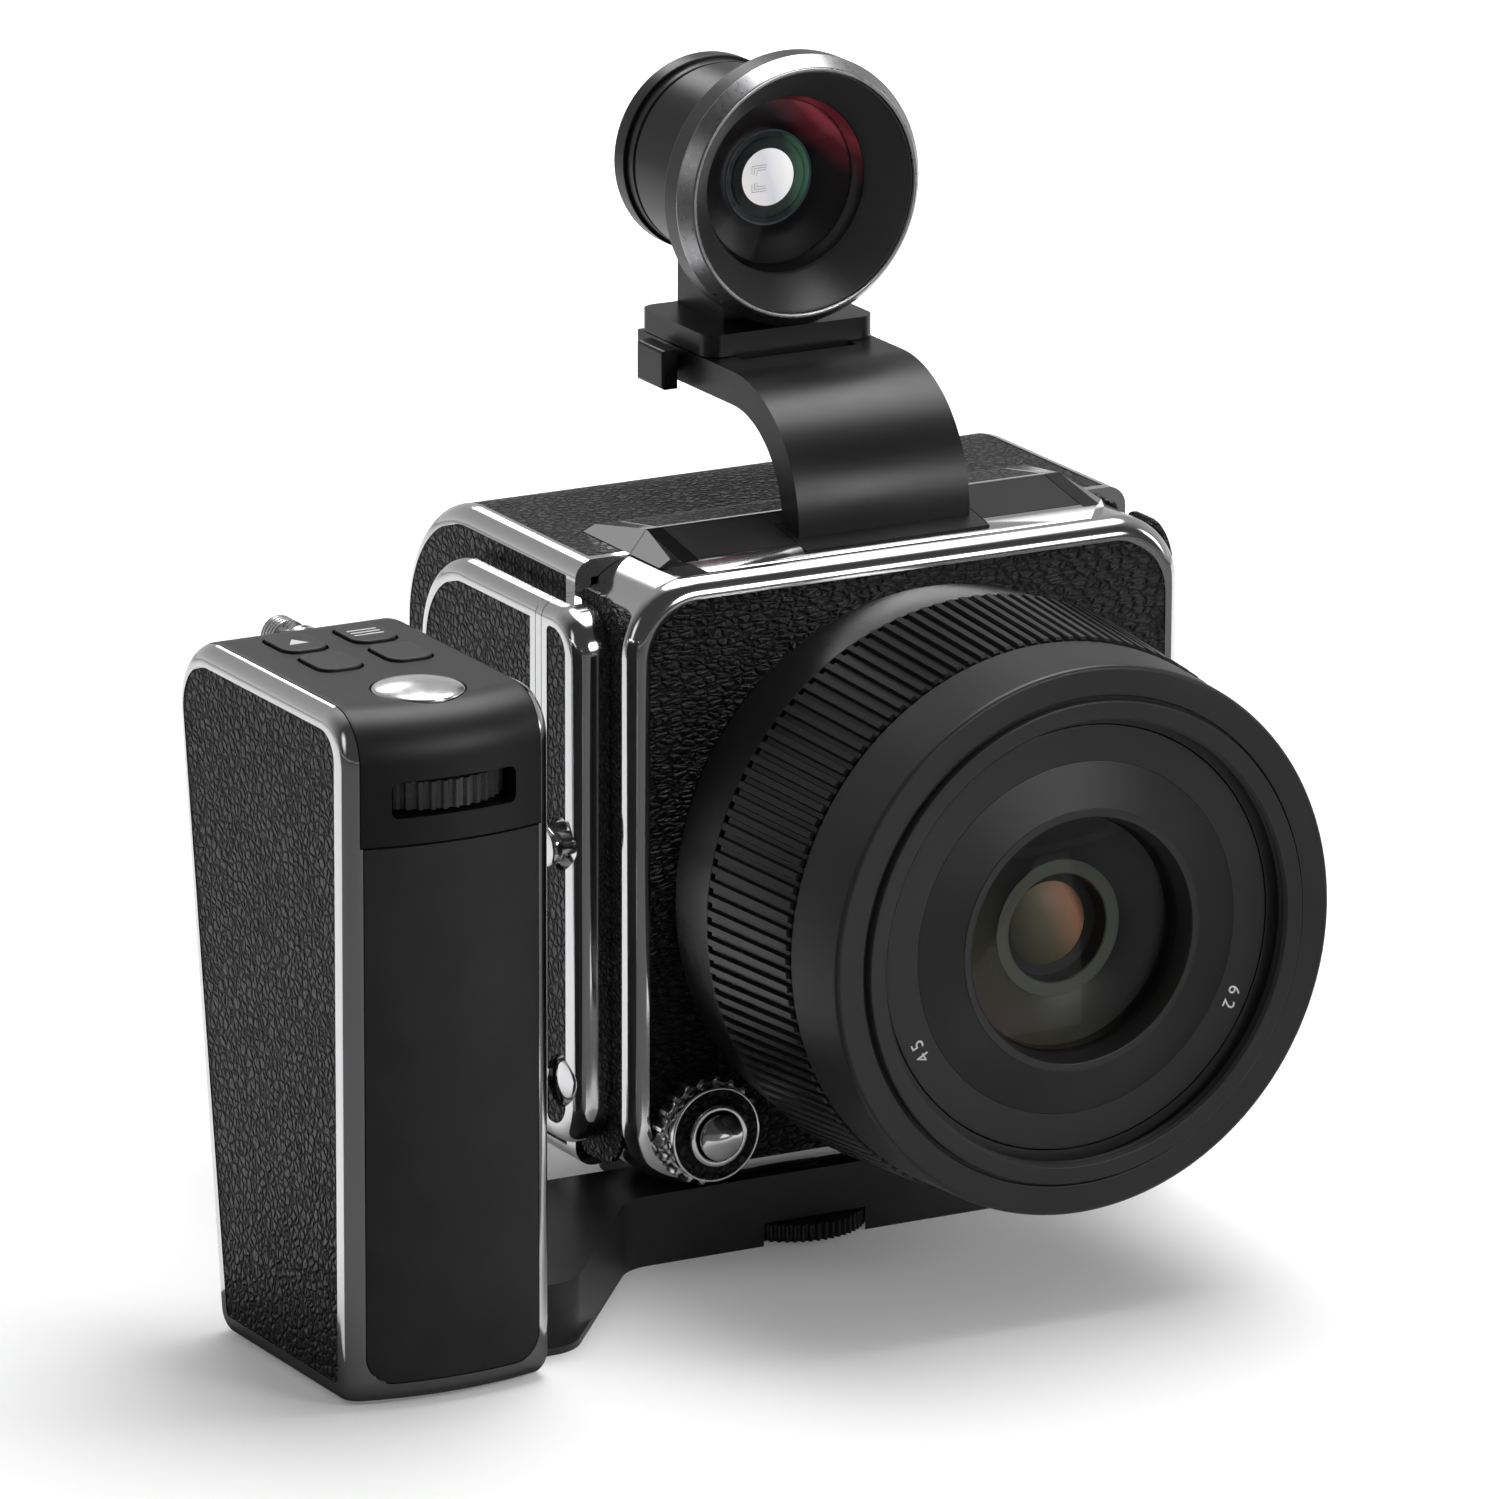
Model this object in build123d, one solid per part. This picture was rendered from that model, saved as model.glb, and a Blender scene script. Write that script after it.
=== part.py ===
from build123d import *
from math import cos, pi, sin, sqrt, tan, radians
import os

# A box-shaped medium format digital camera with its lens, a hand grip on a base plate
# and an optical finder on a curved bracket. Millimetres.
# X runs to the right as seen from the front, Y from the lens towards the screen, Z is up.
# The pieces are made with Y at 0 on the body's front face and Z at 0 on the table.
# write_parts then moves them, so that the origin is the mouth of the socket under the plate.

# Clearances
seam = 0.15            # open line between fixed covers
gap = 0.3              # air between pieces that move past each other
running = 0.06         # on the radius, a shaft in its hole
button_gap = 0.2       # around a button in its hole
overrun = 2.0          # how far a cutter runs past a surface

# Body box
body_width = 87.4
body_height = 87.1
body_corner = 10.5     # corner radius seen from the front
body_round = 2.9       # rounding of the chrome edges
front_depth = 16.0     # front module
back_depth = 52.0      # digital back
back_top_radius = 20.0
back_bottom_radius = 12.0
wall = 2.5
leather = 0.7          # thickness of the leather coverings
leather_corner = 8.5
leather_margin = 2.9   # chrome left around the front leather
rim_radius = 2.0       # corners of the small leather panels

# Base plate and its arm
plate_thickness = 10.1
plate_right = 30.0
plate_front_depth = 13.0
plate_tail_width = 52.0
plate_tail_depth = 46.0
plate_corner = 5.0
arm_forward = 28.0     # the arm's front edge stands this far before the body
arm_start = 44.3       # where the arm leaves the body's front plane
arm_slant = 50.6       # degrees
arm_bend = 7.0
tongue_height = 5.0
tongue_reach = 22.0
tongue_inset = 3.0
foot_margin = 0.6      # the thumb wheel stays this high above the table
socket_back = 30.0     # socket behind the front face
socket_radius = 3.175
socket_depth = 7.0

# Thumb wheel under the body, with its captive screw
thumb_x = -14.7
thumb_back = 7.8
thumb_radius = 10.9
thumb_height = 2.4
thumb_ribs = 60
thumb_rib_depth = 0.5
screw_radius = 3.1
screw_engagement = 5.5

# Hump on top, split by the seam between the two modules
hump_half_base = 35.2
hump_half_top = 32.6
hump_front = 2.6       # its front foot behind the front face
hump_lip = 1.0         # height of its front edge
hump_lip_back = 4.6
hump_height = 3.2
hump_rear_reach = 13.5
hump_rear_lip = 1.3
hump_rear_slope = 1.5
hump_corner_cut = 5.0
shoe_plate_thickness = 0.8
shoe_plate_margin = 2.2

# Side pads on the grip side
pad_out = 5.3
pad_front = 6.1        # front face of the front pad behind the body's front face
pad_bottom = 5.4       # above the body's underside
pad_top = 4.8          # below the body's top
pad_round = 2.6
pad_corner = 6.5
pad_rear_depth = 37.2
pad_rear_radius = 14.0
pad_rear_low_radius = 9.0
pad_margin = 3.0
side_margin = 2.6      # chrome left beside the side leathers
side_strip_corner = 6.0    # front corners of the front module's side leathers
strip_width = 3.1      # chrome strip between the two pads' seams
seam_depth = 0.5

# Strap lugs and the side release button
lug_height = 49.0      # above the body's underside
lug_back = 10.6
lug_seat_radius = 3.65
lug_seat_depth = 1.6
lug_neck_radius = 1.6
lug_neck_length = 2.0  # below the seat
lug_neck_out = 2.6      # above the seat
lug_head_radius = 2.9
lug_head_length = 1.6
side_button_height = 15.0
side_button_radius = 2.9
side_button_proud = 1.3
side_button_travel = 1.0
side_button_seat = 3.65

# Release button and control wheel at the lower front corner
dial_air = 3.7586      # between the wheel and the lens mount
dial_height = 9.0      # above the body's underside
dial_radius = 7.75
dial_scallops = 20
dial_scallop_radius = 1.0
dial_thickness = 2.9
dial_bore = 5.2
bezel_radius = 6.8
bezel_thickness = 1.3
bezel_ring_radius = 4.4
bezel_ring_height = 0.9
release_radius = 3.3
release_proud = 1.9
release_dome = 1.1
release_travel = 1.2
release_stem_radius = 1.5
release_stem = 6.0

# Lens mount
mount_outer = 36.2
mount_bore = 29.4
mount_flange = 1.2
mount_spigot = 32.6
mount_spigot_depth = 3.2
bayonet_radius = 29.1
bayonet_bore = 25.0
bayonet_lugs = 3
bayonet_lug_angle = 44.0
bayonet_lug_height = 1.6
bayonet_reach = 4.0

# Lens, with distances before the body's front face
lens_front = 48.4
lens_lip = 0.9         # the inner front ring stands this far before lens_front
lens_front_radius = 38.5
lens_groove_radius = 33.8
lens_groove = 0.5
filter_radius = 31.0
filter_relief = 1.3      # length of the undercut below the thread
filter_relief_depth = 1.1
filter_chamfer = 0.45
front_barrel_back = 36.7
front_barrel_radius = 39.1
ring_back = 16.4
ring_front_radius = 39.6
ring_back_radius = 41.0
ring_ribs = 126
ring_rib_depth = 0.7
name_ring_seat = 1.1   # width of the step that the name ring rests on
rear_barrel_front_radius = 40.6
rear_barrel_back_radius = 39.5
lens_base = 4.9
lens_tube_radius = 36.4
lens_tube_wall = 2.2
cell_radius = 21.0
cell_wall = 1.8
name_ring_depth = 2.3  # behind lens_front
name_ring_thickness = 1.5
cone_outer = 24.6
cone_rise = 1.0
cone_inner = 18.4
glass_radius = 16.8
glass_bulge = 1.6
front_glass_thickness = 5.0
cell_back = 5.5
rear_glass_thickness = 4.0
aperture_front = 27.0
aperture_thickness = 1.0
aperture_radius = 8.0
group_bulge = 1.2
group_thickness = 4.0
group_front = 22.0

# Digital back inside and rear
bulkhead_back = 6.5    # behind the seam
bulkhead_wall = 2.0
sensor_width = 43.8
sensor_height = 32.9
sensor_thickness = 1.4
sensor_board_width = 62.0
sensor_board_height = 50.0
board_thickness = 1.6
sensor_post = 1.6
main_board_width = 46.0
main_board_height = 58.0
battery_width = 26.0
battery_depth = 24.0
battery_height = 46.0
rear_panel_width = 80.0
rear_panel_height = 52.0
rear_panel_low = 12.6  # above the body's underside
rear_panel_thickness = 2.2
rear_panel_corner = 3.0
screen_side_margin = 6.0
screen_top_margin = 1.4
screen_thickness = 4.6
screen_border = 3.4
screen_glass_thickness = 0.6
screen_low = 9.6       # above the rear panel's lower edge
screen_ear = 3.0
hinge_pin_radius = 1.2
rear_buttons = 4
rear_button_pitch = 15.0
rear_button_radius = 2.4
rear_button_height = 6.2   # above the rear panel's lower edge
rear_button_proud = 0.8
rear_button_travel = 0.5
rear_button_stroke_room = 0.7

# Battery door on the side away from the grip
door_front = 24.0      # behind the front face
door_back = 53.0
door_low = 5.0         # above the body's underside
door_height = 52.0
door_thickness = 2.0
door_corner = 2.0
door_hinge_radius = 1.1
door_pin_radius = 0.7
door_pin_length = 1.6
door_hinge_inset = 1.2

# Finder and its bracket
finder_rise = 23.05     # axis above the bracket's top
finder_front = 30.0
bezel_lip_radius = 17.7
bezel_back_radius = 19.2
bezel_depth = 2.3
bezel_bore = 17.1
finder_ring_depth = 6.0
finder_barrel_radius = 13.6
finder_glass_radius = 12.5
finder_glass_back = 5.1
finder_glass_seat = 2.0
finder_glass_thickness = 1.4
finder_glass_bulge = 1.4
finder_tube_bore = 11.6
pupil_back = 11.0
pupil_radius = 4.2
pupil_wall = 1.2
eyepiece_front = 57.1
eyepiece_back = 60.2
eyepiece_radius = 14.1
eyepiece_bore = 8.0
eyepiece_glass_thickness = 1.5
bracket_width = 27.0
bracket_thickness = 4.75
bracket_radius = 19.0
bracket_front = 7.35
bracket_straight = 0.75    # upright stretch under the curve
bracket_back = 54.0
bracket_foot_front = 3.6
bracket_foot_width = 29.0
bracket_foot_thickness = 1.3
foot_plate_front = 33.7
foot_plate_width = 27.0
foot_plate_height = 3.3
foot_plate_corner = 2.5
foot_key_width = 18.0
foot_key_height = 2.0
stem_width = 15.0
stem_front = 40.0
stem_back = 53.4
lock_out = 17.2        # outer face of the lock button from the middle
lock_thickness = 2.4
lock_front = 40.0
lock_depth = 7.6
lock_height = 5.6
lock_travel = 0.8
lock_pin_radius = 1.3
lock_pin_length = 3.5
lock_round = 0.5

# Hand grip
grip_left = 106.0
grip_right = 75.2
grip_side_front = 36.2
grip_crown = 38.7
grip_top = 96.2
grip_rear_top = 15.6
grip_rear_foot = 3.0
grip_round = 2.8
grip_front_top_radius = 7.0
grip_rear_top_radius = 10.0
grip_foot_radius = 4.0
grip_wall = 2.6
cap_margin = 1.9
cap_front_height = 18.1     # the cap's front face, down from the grip's top
cap_thickness = 11.0
cap_nose_depth = 26.0
front_pad_thickness = 1.5
front_pad_margin = 2.3
front_pad_low = 3.5
front_pad_corner = 4.0
grip_leather_margin = 3.1
grip_button_width = 6.5
grip_button_depth = 8.5
grip_button_corner = 2.0
grip_button_air = 0.35
grip_button_x = 95.1
grip_button_y = 11.0
grip_button_pitch_x = 10.5
grip_button_pitch_y = 10.4
grip_button_height = 4.3
grip_button_proud = 0.4
grip_button_travel = 0.6
shutter_x = 90.6
shutter_y = 27.6
shutter_radius = 6.3
shutter_height = 4.6
shutter_dome = 1.2
shutter_travel = 1.0
stroke_room = 0.2
front_wheel_radius = 12.0
front_wheel_height = 3.8
front_wheel_rise = 4.4      # above the cap's lower seam
front_wheel_recess = 0.3
front_wheel_ribs = 44
stick_x = 88.2
stick_height = 92.2
stick_pivot_back = 10.2
stick_floor_back = 7.8
stick_hole_radius = 3.6
stick_ring_radius = 3.0
stick_ring_bore = 2.1
stick_ring_width = 1.8
stick_pin_radius = 0.45
stick_pin_length = 1.0
stick_stem_radius = 1.2
stick_head_front = 15.0
stick_head_length = 4.0
stick_head_radius = 2.7
stick_head_dome = 0.9
stick_socket_depth = 2.2
stick_grooves = 4
stick_groove_depth = 0.25
wheel_rib_depth = 0.5
wheel_pin_radius = 1.2
wheel_pin_length = 1.6
slot_width = 18.5
slot_height = 5.0
grip_board_width = 20.0
grip_board_top_room = 5.5
grip_board_low = 14.0
grip_cavity_low = 11.0
grip_cavity_back = 0.0

# Screws that hold the plate's arm in the grip, and two under the plate's tail
screw_head_radius = 2.4
screw_head_height = 1.4
screw_shank_radius = 1.1
screw_shank_length = 4.0
screw_inset = 8.0

# Derived places
half_width = body_width / 2
body_bottom = plate_thickness
body_top = body_bottom + body_height
axis_height = body_bottom + body_height / 2
dial_reach = mount_outer + dial_radius + dial_air
dial_x = -sqrt(dial_reach ** 2 - (body_height / 2 - dial_height) ** 2)
back_front = front_depth + seam
back_rear = back_front + back_depth
ridge_height = body_top + hump_height
grip_middle = -(grip_left + grip_right) / 2
bracket_low = body_top + hump_lip / 2
bracket_top = bracket_low + bracket_foot_thickness / 2 + bracket_straight + bracket_radius
finder_height = bracket_top + finder_rise
screen_width = rear_panel_width - 2 * screen_side_margin
screen_height = rear_panel_height - screen_low - screen_top_margin
cap_seam_height = grip_top - cap_front_height
front_wheel_low = cap_seam_height + front_wheel_rise
grip_board_height = cap_seam_height - grip_wall - grip_board_top_room - grip_board_low


# Helpers

def block(x, y, z):
    """A box between the limits x, y and z, each a pair."""
    centre = Pos((x[0] + x[1]) / 2, (y[0] + y[1]) / 2, (z[0] + z[1]) / 2)
    return centre * Box(abs(x[1] - x[0]), abs(y[1] - y[0]), abs(z[1] - z[0]))


def along_x(sketch, x0, x1):
    """A sketch drawn in Y and Z, extruded from x0 to x1."""
    return extrude(Plane.YZ.offset(x0) * sketch, amount=x1 - x0)


def along_y(sketch, y0, y1):
    """A sketch drawn in X and Z, extruded from y0 to y1."""
    return extrude(Plane.XZ.offset(-y1) * sketch, amount=y1 - y0)


def along_z(sketch, z0, z1):
    """A sketch drawn in X and Y, extruded from z0 to z1."""
    return extrude(Plane.XY.offset(z0) * sketch, amount=z1 - z0)


def rounded(width, height, radius, middle):
    return Pos(*middle) * RectangleRounded(width, height, radius)


def disc_y(radius, y0, y1, x, z):
    return along_y(Pos(x, z) * Circle(radius), y0, y1)


def disc_z(radius, z0, z1, x, y):
    return along_z(Pos(x, y) * Circle(radius), z0, z1)


def disc_x(radius, x0, x1, y, z):
    return along_x(Pos(y, z) * Circle(radius), x0, x1)


def turned(points, height=axis_height):
    """A profile of radius and Y, turned about the optical axis at a height."""
    face = make_face(Polyline(*points, close=True))
    return Pos(0, 0, height) * revolve(face, Axis.Y)


def dome(radius, bulge, thickness, face_y, height, towards=-1):
    """A disc whose face bulges towards the front (-1) or the rear (1)."""
    edge = face_y - towards * bulge
    arc = ThreePointArc((0, face_y), (radius / 2, face_y - towards * bulge / 4), (radius, edge))
    back = edge - towards * thickness
    rim = Polyline((radius, edge), (radius, back), (0, back), (0, face_y))
    return Pos(0, 0, height) * revolve(make_face(Curve() + [arc, rim]), Axis.Y)


def ribbed(count, radius, depth):
    """A wheel outline with evenly spaced ribs."""
    land_share, flank_share = 0.3, 0.2
    points = []
    for rib in range(count):
        start = 2 * pi * rib / count
        step = 2 * pi / count
        for share, r in ((0, radius), (land_share, radius),
                         (land_share + flank_share, radius - depth), (1 - flank_share, radius - depth)):
            turn = start + share * step
            points.append((r * cos(turn), r * sin(turn)))
    return Polygon(*points, align=None)


def front_rounded(y, z, front_radius, rear_radius):
    """A rectangle in Y and Z with its own corner radius at the front and at the rear."""
    face = make_face(Polyline((y[0], z[0]), (y[1], z[0]), (y[1], z[1]), (y[0], z[1]), close=True))
    face = fillet([v for v in face.vertices() if v.X < y[0] + running], front_radius)
    if rear_radius > 0:
        face = fillet([v for v in face.vertices() if v.X > y[1] - running], rear_radius)
    return face


def side_outline(inset, front, rear, low, high, top_radius, low_radius):
    """The side view of the back: square at the seam, rounded at the rear."""
    y0, y1, z0, z1 = front + inset, rear - inset, low + inset, high - inset
    r1 = top_radius - inset
    r0 = low_radius - inset
    diagonal = 1 - sqrt(0.5)
    lines = Curve() + [
        Line((y0, z0), (y1 - r0, z0)),
        ThreePointArc((y1 - r0, z0), (y1 - r0 * diagonal, z0 + r0 * diagonal), (y1, z0 + r0)),
        Line((y1, z0 + r0), (y1, z1 - r1)),
        ThreePointArc((y1, z1 - r1), (y1 - r1 * diagonal, z1 - r1 * diagonal), (y1 - r1, z1)),
        Line((y1 - r1, z1), (y0, z1)),
        Line((y0, z1), (y0, z0))]
    return make_face(lines)


# Front module

def front_frame():
    """Chromed shell of the front module, with the tripod boss inside."""
    middle = (0, axis_height)
    shell = along_y(rounded(body_width, body_height, body_corner, middle), 0, front_depth)
    shell = fillet(shell.faces().sort_by(Axis.Y)[0].edges(), body_round)
    inner = along_y(rounded(body_width - 2 * wall, body_height - 2 * wall, body_corner - wall, middle),
                    wall, front_depth + overrun)
    recess = along_y(leather_sheet_outline(0), -overrun, leather)
    mount_hole = disc_y(mount_spigot + seam, -overrun, wall + overrun, 0, axis_height)
    boss = disc_z(socket_radius + wall, body_bottom, body_bottom + screw_engagement + wall, thumb_x, thumb_back)
    boss = boss & block((-half_width, half_width), (wall / 2, front_depth), (body_bottom, body_top))
    socket = disc_z(screw_radius + running, body_bottom - overrun, body_bottom + screw_engagement + wall / 2,
                    thumb_x, thumb_back)
    stem = disc_y(release_stem_radius + running, -overrun, wall + overrun, dial_x, body_bottom + dial_height)
    spigot = disc_y(dial_bore - running, -overrun, wall / 2, dial_x, body_bottom + dial_height)
    shell = shell - inner + boss
    for side in (-1, 1):
        shell -= front_side_sheet(side, 0)
    for place in lug_places():
        shell -= lug_bore(*place)
    return shell - recess - mount_hole - socket - stem - spigot


def leather_sheet_outline(trim):
    return rounded(body_width - 2 * (leather_margin + trim), body_height - 2 * leather_margin - 2 * trim,
                   leather_corner - trim, (0, axis_height))


def front_leather():
    sheet = along_y(leather_sheet_outline(seam), seam / 2, leather)
    hole = disc_y(mount_outer + gap, -overrun, leather + overrun, 0, axis_height)
    dial = disc_y(dial_bore + gap, -overrun, leather + overrun, dial_x, body_bottom + dial_height)
    return sheet - hole - dial


def front_side_sheet(side, trim):
    """Leather strip in the side of the front module; side is -1 for the grip side."""
    y = (side_margin + trim, front_depth - side_margin / 2 - trim)
    z = (body_bottom + leather_margin + trim, body_top - leather_margin - trim)
    outline = front_rounded(y, z, side_strip_corner - trim, rim_radius - trim)
    x0, x1 = side * (half_width - leather), side * (half_width + (overrun if trim == 0 else -seam / 2))
    return along_x(outline, min(x0, x1), max(x0, x1))


def front_side_leathers():
    sheets = []
    for side in (-1, 1):
        sheet = front_side_sheet(side, seam)
        for place in lug_places():
            sheet -= lug_bore(*place)
        sheets.append(sheet)
    return sheets


def pad_limits():
    return body_bottom + pad_bottom, body_top - pad_top


def front_pad():
    """Chromed pad that stands out of the front module's side."""
    low, high = pad_limits()
    outline = front_rounded((pad_front, front_depth), (low, high), pad_corner, 0)
    pad = along_x(outline, -(half_width + pad_out), -half_width)
    rim = [e for e in pad.faces().sort_by(Axis.X)[0].edges() if e.center().Y < front_depth - running]
    pad = fillet(rim, pad_round)
    for place in lug_places():
        pad -= lug_bore(*place)
    return pad - front_pad_sheet(0) - side_button_bore()


def front_pad_sheet(trim):
    low, high = pad_limits()
    outer = half_width + pad_out
    y = (pad_front + pad_margin + trim, front_depth - pad_margin / 2 - trim)
    z = (low + pad_margin + trim, high - pad_margin - trim)
    outline = front_rounded(y, z, pad_corner - pad_margin - trim, rim_radius / 2 - trim)
    reach = overrun if trim == 0 else -seam / 2
    return along_x(outline, -(outer + reach), -(outer - leather))


def front_pad_leather():
    sheet = front_pad_sheet(seam)
    seat = disc_x(lug_seat_radius + seam, -(half_width + pad_out + overrun), -half_width,
                  lug_back, body_bottom + lug_height)
    button = disc_x(side_button_seat + seam, -(half_width + pad_out + overrun), -half_width,
                    lug_back, body_bottom + side_button_height)
    return sheet - seat - button


def lug_places():
    """Side, X of the seat face and height for each strap lug."""
    return ((-1, half_width + pad_out), (1, half_width))


def lug_bore(side, face):
    height = body_bottom + lug_height
    seat = sorted((side * (face - lug_seat_depth), side * (face + overrun)))
    neck = sorted((side * (face - lug_seat_depth - lug_neck_length), side * face))
    return (disc_x(lug_seat_radius, *seat, lug_back, height)
            + disc_x(lug_neck_radius + running, *neck, lug_back, height))


def strap_lugs():
    """Mushroom studs with a round head, one on each side."""
    studs = []
    height = body_bottom + lug_height
    for side, face in lug_places():
        floor = face - lug_seat_depth
        tip = floor + lug_neck_out
        neck = sorted((side * (floor - lug_neck_length), side * tip))
        head = sorted((side * tip, side * (tip + lug_head_length)))
        cap = disc_x(lug_head_radius, *head, lug_back, height)
        cap = fillet(cap.edges(), lug_head_length / 4)
        studs.append(disc_x(lug_neck_radius, *neck, lug_back, height) + cap)
    return Compound(children=studs)


def side_button_bore():
    outer = half_width + pad_out
    height = body_bottom + side_button_height
    floor = outer - pad_out + wall / 2
    return (disc_x(side_button_seat, -(outer + overrun), -(outer - lug_seat_depth), lug_back, height)
            + disc_x(side_button_radius + button_gap, -outer, -floor, lug_back, height))


def side_release_button():
    outer = half_width + pad_out
    height = body_bottom + side_button_height
    floor = outer - pad_out + wall / 2
    head = disc_x(side_button_radius, -(outer - lug_seat_depth + side_button_proud),
                  -(floor + side_button_travel + stroke_room), lug_back, height)
    return fillet(head.faces().sort_by(Axis.X)[0].edges(), side_button_proud / 2)


# Release button and control wheel

def control_wheel():
    """Scalloped wheel around the release button."""
    height = body_bottom + dial_height
    back = -gap
    wheel = disc_y(dial_radius, back - dial_thickness, back, dial_x, height)
    wheel = chamfer(wheel.faces().sort_by(Axis.Y)[0].edges(), dial_scallop_radius / 2)
    for k in range(dial_scallops):
        turn = 2 * pi * k / dial_scallops
        wheel -= disc_y(dial_scallop_radius, back - dial_thickness - overrun, back + overrun,
                        dial_x + (dial_radius + dial_scallop_radius / 3) * cos(turn),
                        height + (dial_radius + dial_scallop_radius / 3) * sin(turn))
    return wheel - disc_y(dial_bore, -(dial_thickness + overrun), overrun, dial_x, height)


def release_bezel():
    """Fixed spigot, leather-faced disc and ring in front of the control wheel."""
    height = body_bottom + dial_height
    back = -(dial_thickness + 2 * gap)
    face = back - bezel_thickness
    spigot = disc_y(dial_bore - running, back, wall / 2, dial_x, height)
    plate = disc_y(bezel_radius, face, back, dial_x, height)
    ring = disc_y(bezel_ring_radius, face - bezel_ring_height, face, dial_x, height)
    ring = fillet(ring.faces().sort_by(Axis.Y)[0].edges(), bezel_ring_height / 3)
    bore = disc_y(release_radius + button_gap, face - bezel_ring_height - overrun,
                  release_floor(), dial_x, height)
    stem = disc_y(release_stem_radius + running, face, wall + overrun, dial_x, height)
    return spigot + plate + ring - bore - stem


def release_front():
    return -(dial_thickness + 2 * gap + bezel_thickness + bezel_ring_height + release_proud)


def release_floor():
    return -wall / 2


def release_button():
    """Domed button on a stem that goes through the front wall."""
    height = body_bottom + dial_height
    head_back = release_floor() - release_travel - stroke_room
    head_front = release_front()
    head = Pos(dial_x, 0, 0) * dome(release_radius, release_dome, head_back - head_front - release_dome,
                                    head_front, height)
    stem = disc_y(release_stem_radius, head_back - running, release_stem, dial_x, height)
    return head + stem


# Hump on the top

def hump_section(y_points):
    profile = make_face(Polyline(*y_points, close=True))
    solid = along_x(profile, -hump_half_base, hump_half_base)
    slope = (hump_half_base - hump_half_top) / hump_height
    tall = hump_height + overrun
    trapezoid = make_face(Polyline((-hump_half_base, body_top), (hump_half_base, body_top),
                                   (hump_half_base - slope * tall, body_top + tall),
                                   (-hump_half_base + slope * tall, body_top + tall), close=True))
    return solid & along_y(trapezoid, -overrun, back_rear)


def hump_front_profile(drop=0):
    return ((hump_front, body_top), (hump_lip_back, body_top + hump_lip - drop),
            (front_depth, ridge_height - drop), (front_depth, body_top))


def top_cover():
    """Chromed front half of the hump, recessed for the shoe plate and the bracket's foot."""
    hump = hump_section(hump_front_profile())
    for side in (-1, 1):
        corner = make_face(Polyline((side * hump_half_base, hump_front + hump_corner_cut),
                                    (side * (hump_half_base - hump_corner_cut), hump_front),
                                    (side * hump_half_base, hump_front), close=True))
        hump -= along_z(corner, body_top - overrun, ridge_height + overrun)
    return hump - shoe_plate_blank(0) - bracket_foot_space()


def shoe_plate_blank(trim):
    """The sloped black plate, let into the hump."""
    edge = hump_half_top - shoe_plate_margin - trim
    area = block((-edge, edge), (hump_lip_back + shoe_plate_margin / 2 + trim, front_depth - seam - trim),
                 (body_top, ridge_height + overrun))
    lift = overrun if trim == 0 else 0
    slab = make_face(Polyline((hump_lip_back, body_top + hump_lip - shoe_plate_thickness),
                              (front_depth, ridge_height - shoe_plate_thickness),
                              (front_depth, ridge_height + lift),
                              (hump_lip_back, body_top + hump_lip + lift), close=True))
    return along_x(slab, -half_width, half_width) & area


def shoe_plate():
    return shoe_plate_blank(seam) - bracket_foot_space()


def bracket_foot_space():
    """Room in the hump for the bracket's foot and the start of its curve."""
    half = bracket_foot_width / 2 + seam
    return block((-half, half), (hump_front - overrun, bracket_front + bracket_thickness + seam),
                 (bracket_low, ridge_height + overrun))


def slope_height(y):
    """Height of the hump's front slope at a place behind the front face."""
    return body_top + hump_lip + (y - hump_lip_back) * (hump_height - hump_lip) / (front_depth - hump_lip_back)


def hump_rear_profile():
    end = back_front + hump_rear_reach
    return ((back_front, body_top), (back_front, ridge_height),
            (end - hump_rear_slope, body_top + hump_rear_lip), (end, body_top))


def hump_rear():
    return hump_section(hump_rear_profile()) - hump_leather_blank(0)


def hump_leather_blank(trim):
    edge = hump_half_top - shoe_plate_margin - trim
    end = back_front + hump_rear_reach - hump_rear_slope
    area = block((-edge, edge), (back_front + shoe_plate_margin / 2 + trim, end - shoe_plate_margin / 2 - trim),
                 (body_top, ridge_height + overrun))
    lift = overrun if trim == 0 else 0
    low = body_top + hump_rear_lip
    slab = make_face(Polyline((back_front, ridge_height - leather), (end, low - leather), (end, low + lift),
                              (back_front, ridge_height + lift), close=True))
    return along_x(slab, -half_width, half_width) & area


def hump_leather():
    return hump_leather_blank(seam)


# Digital back

def back_profile(inset):
    return side_outline(inset, back_front, back_rear, body_bottom, body_top,
                        back_top_radius, back_bottom_radius)


def rear_opening():
    """Limits of the rear panel: x, z."""
    half = rear_panel_width / 2
    low = body_bottom + rear_panel_low
    return (-half, half), (low, low + rear_panel_height)


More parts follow.
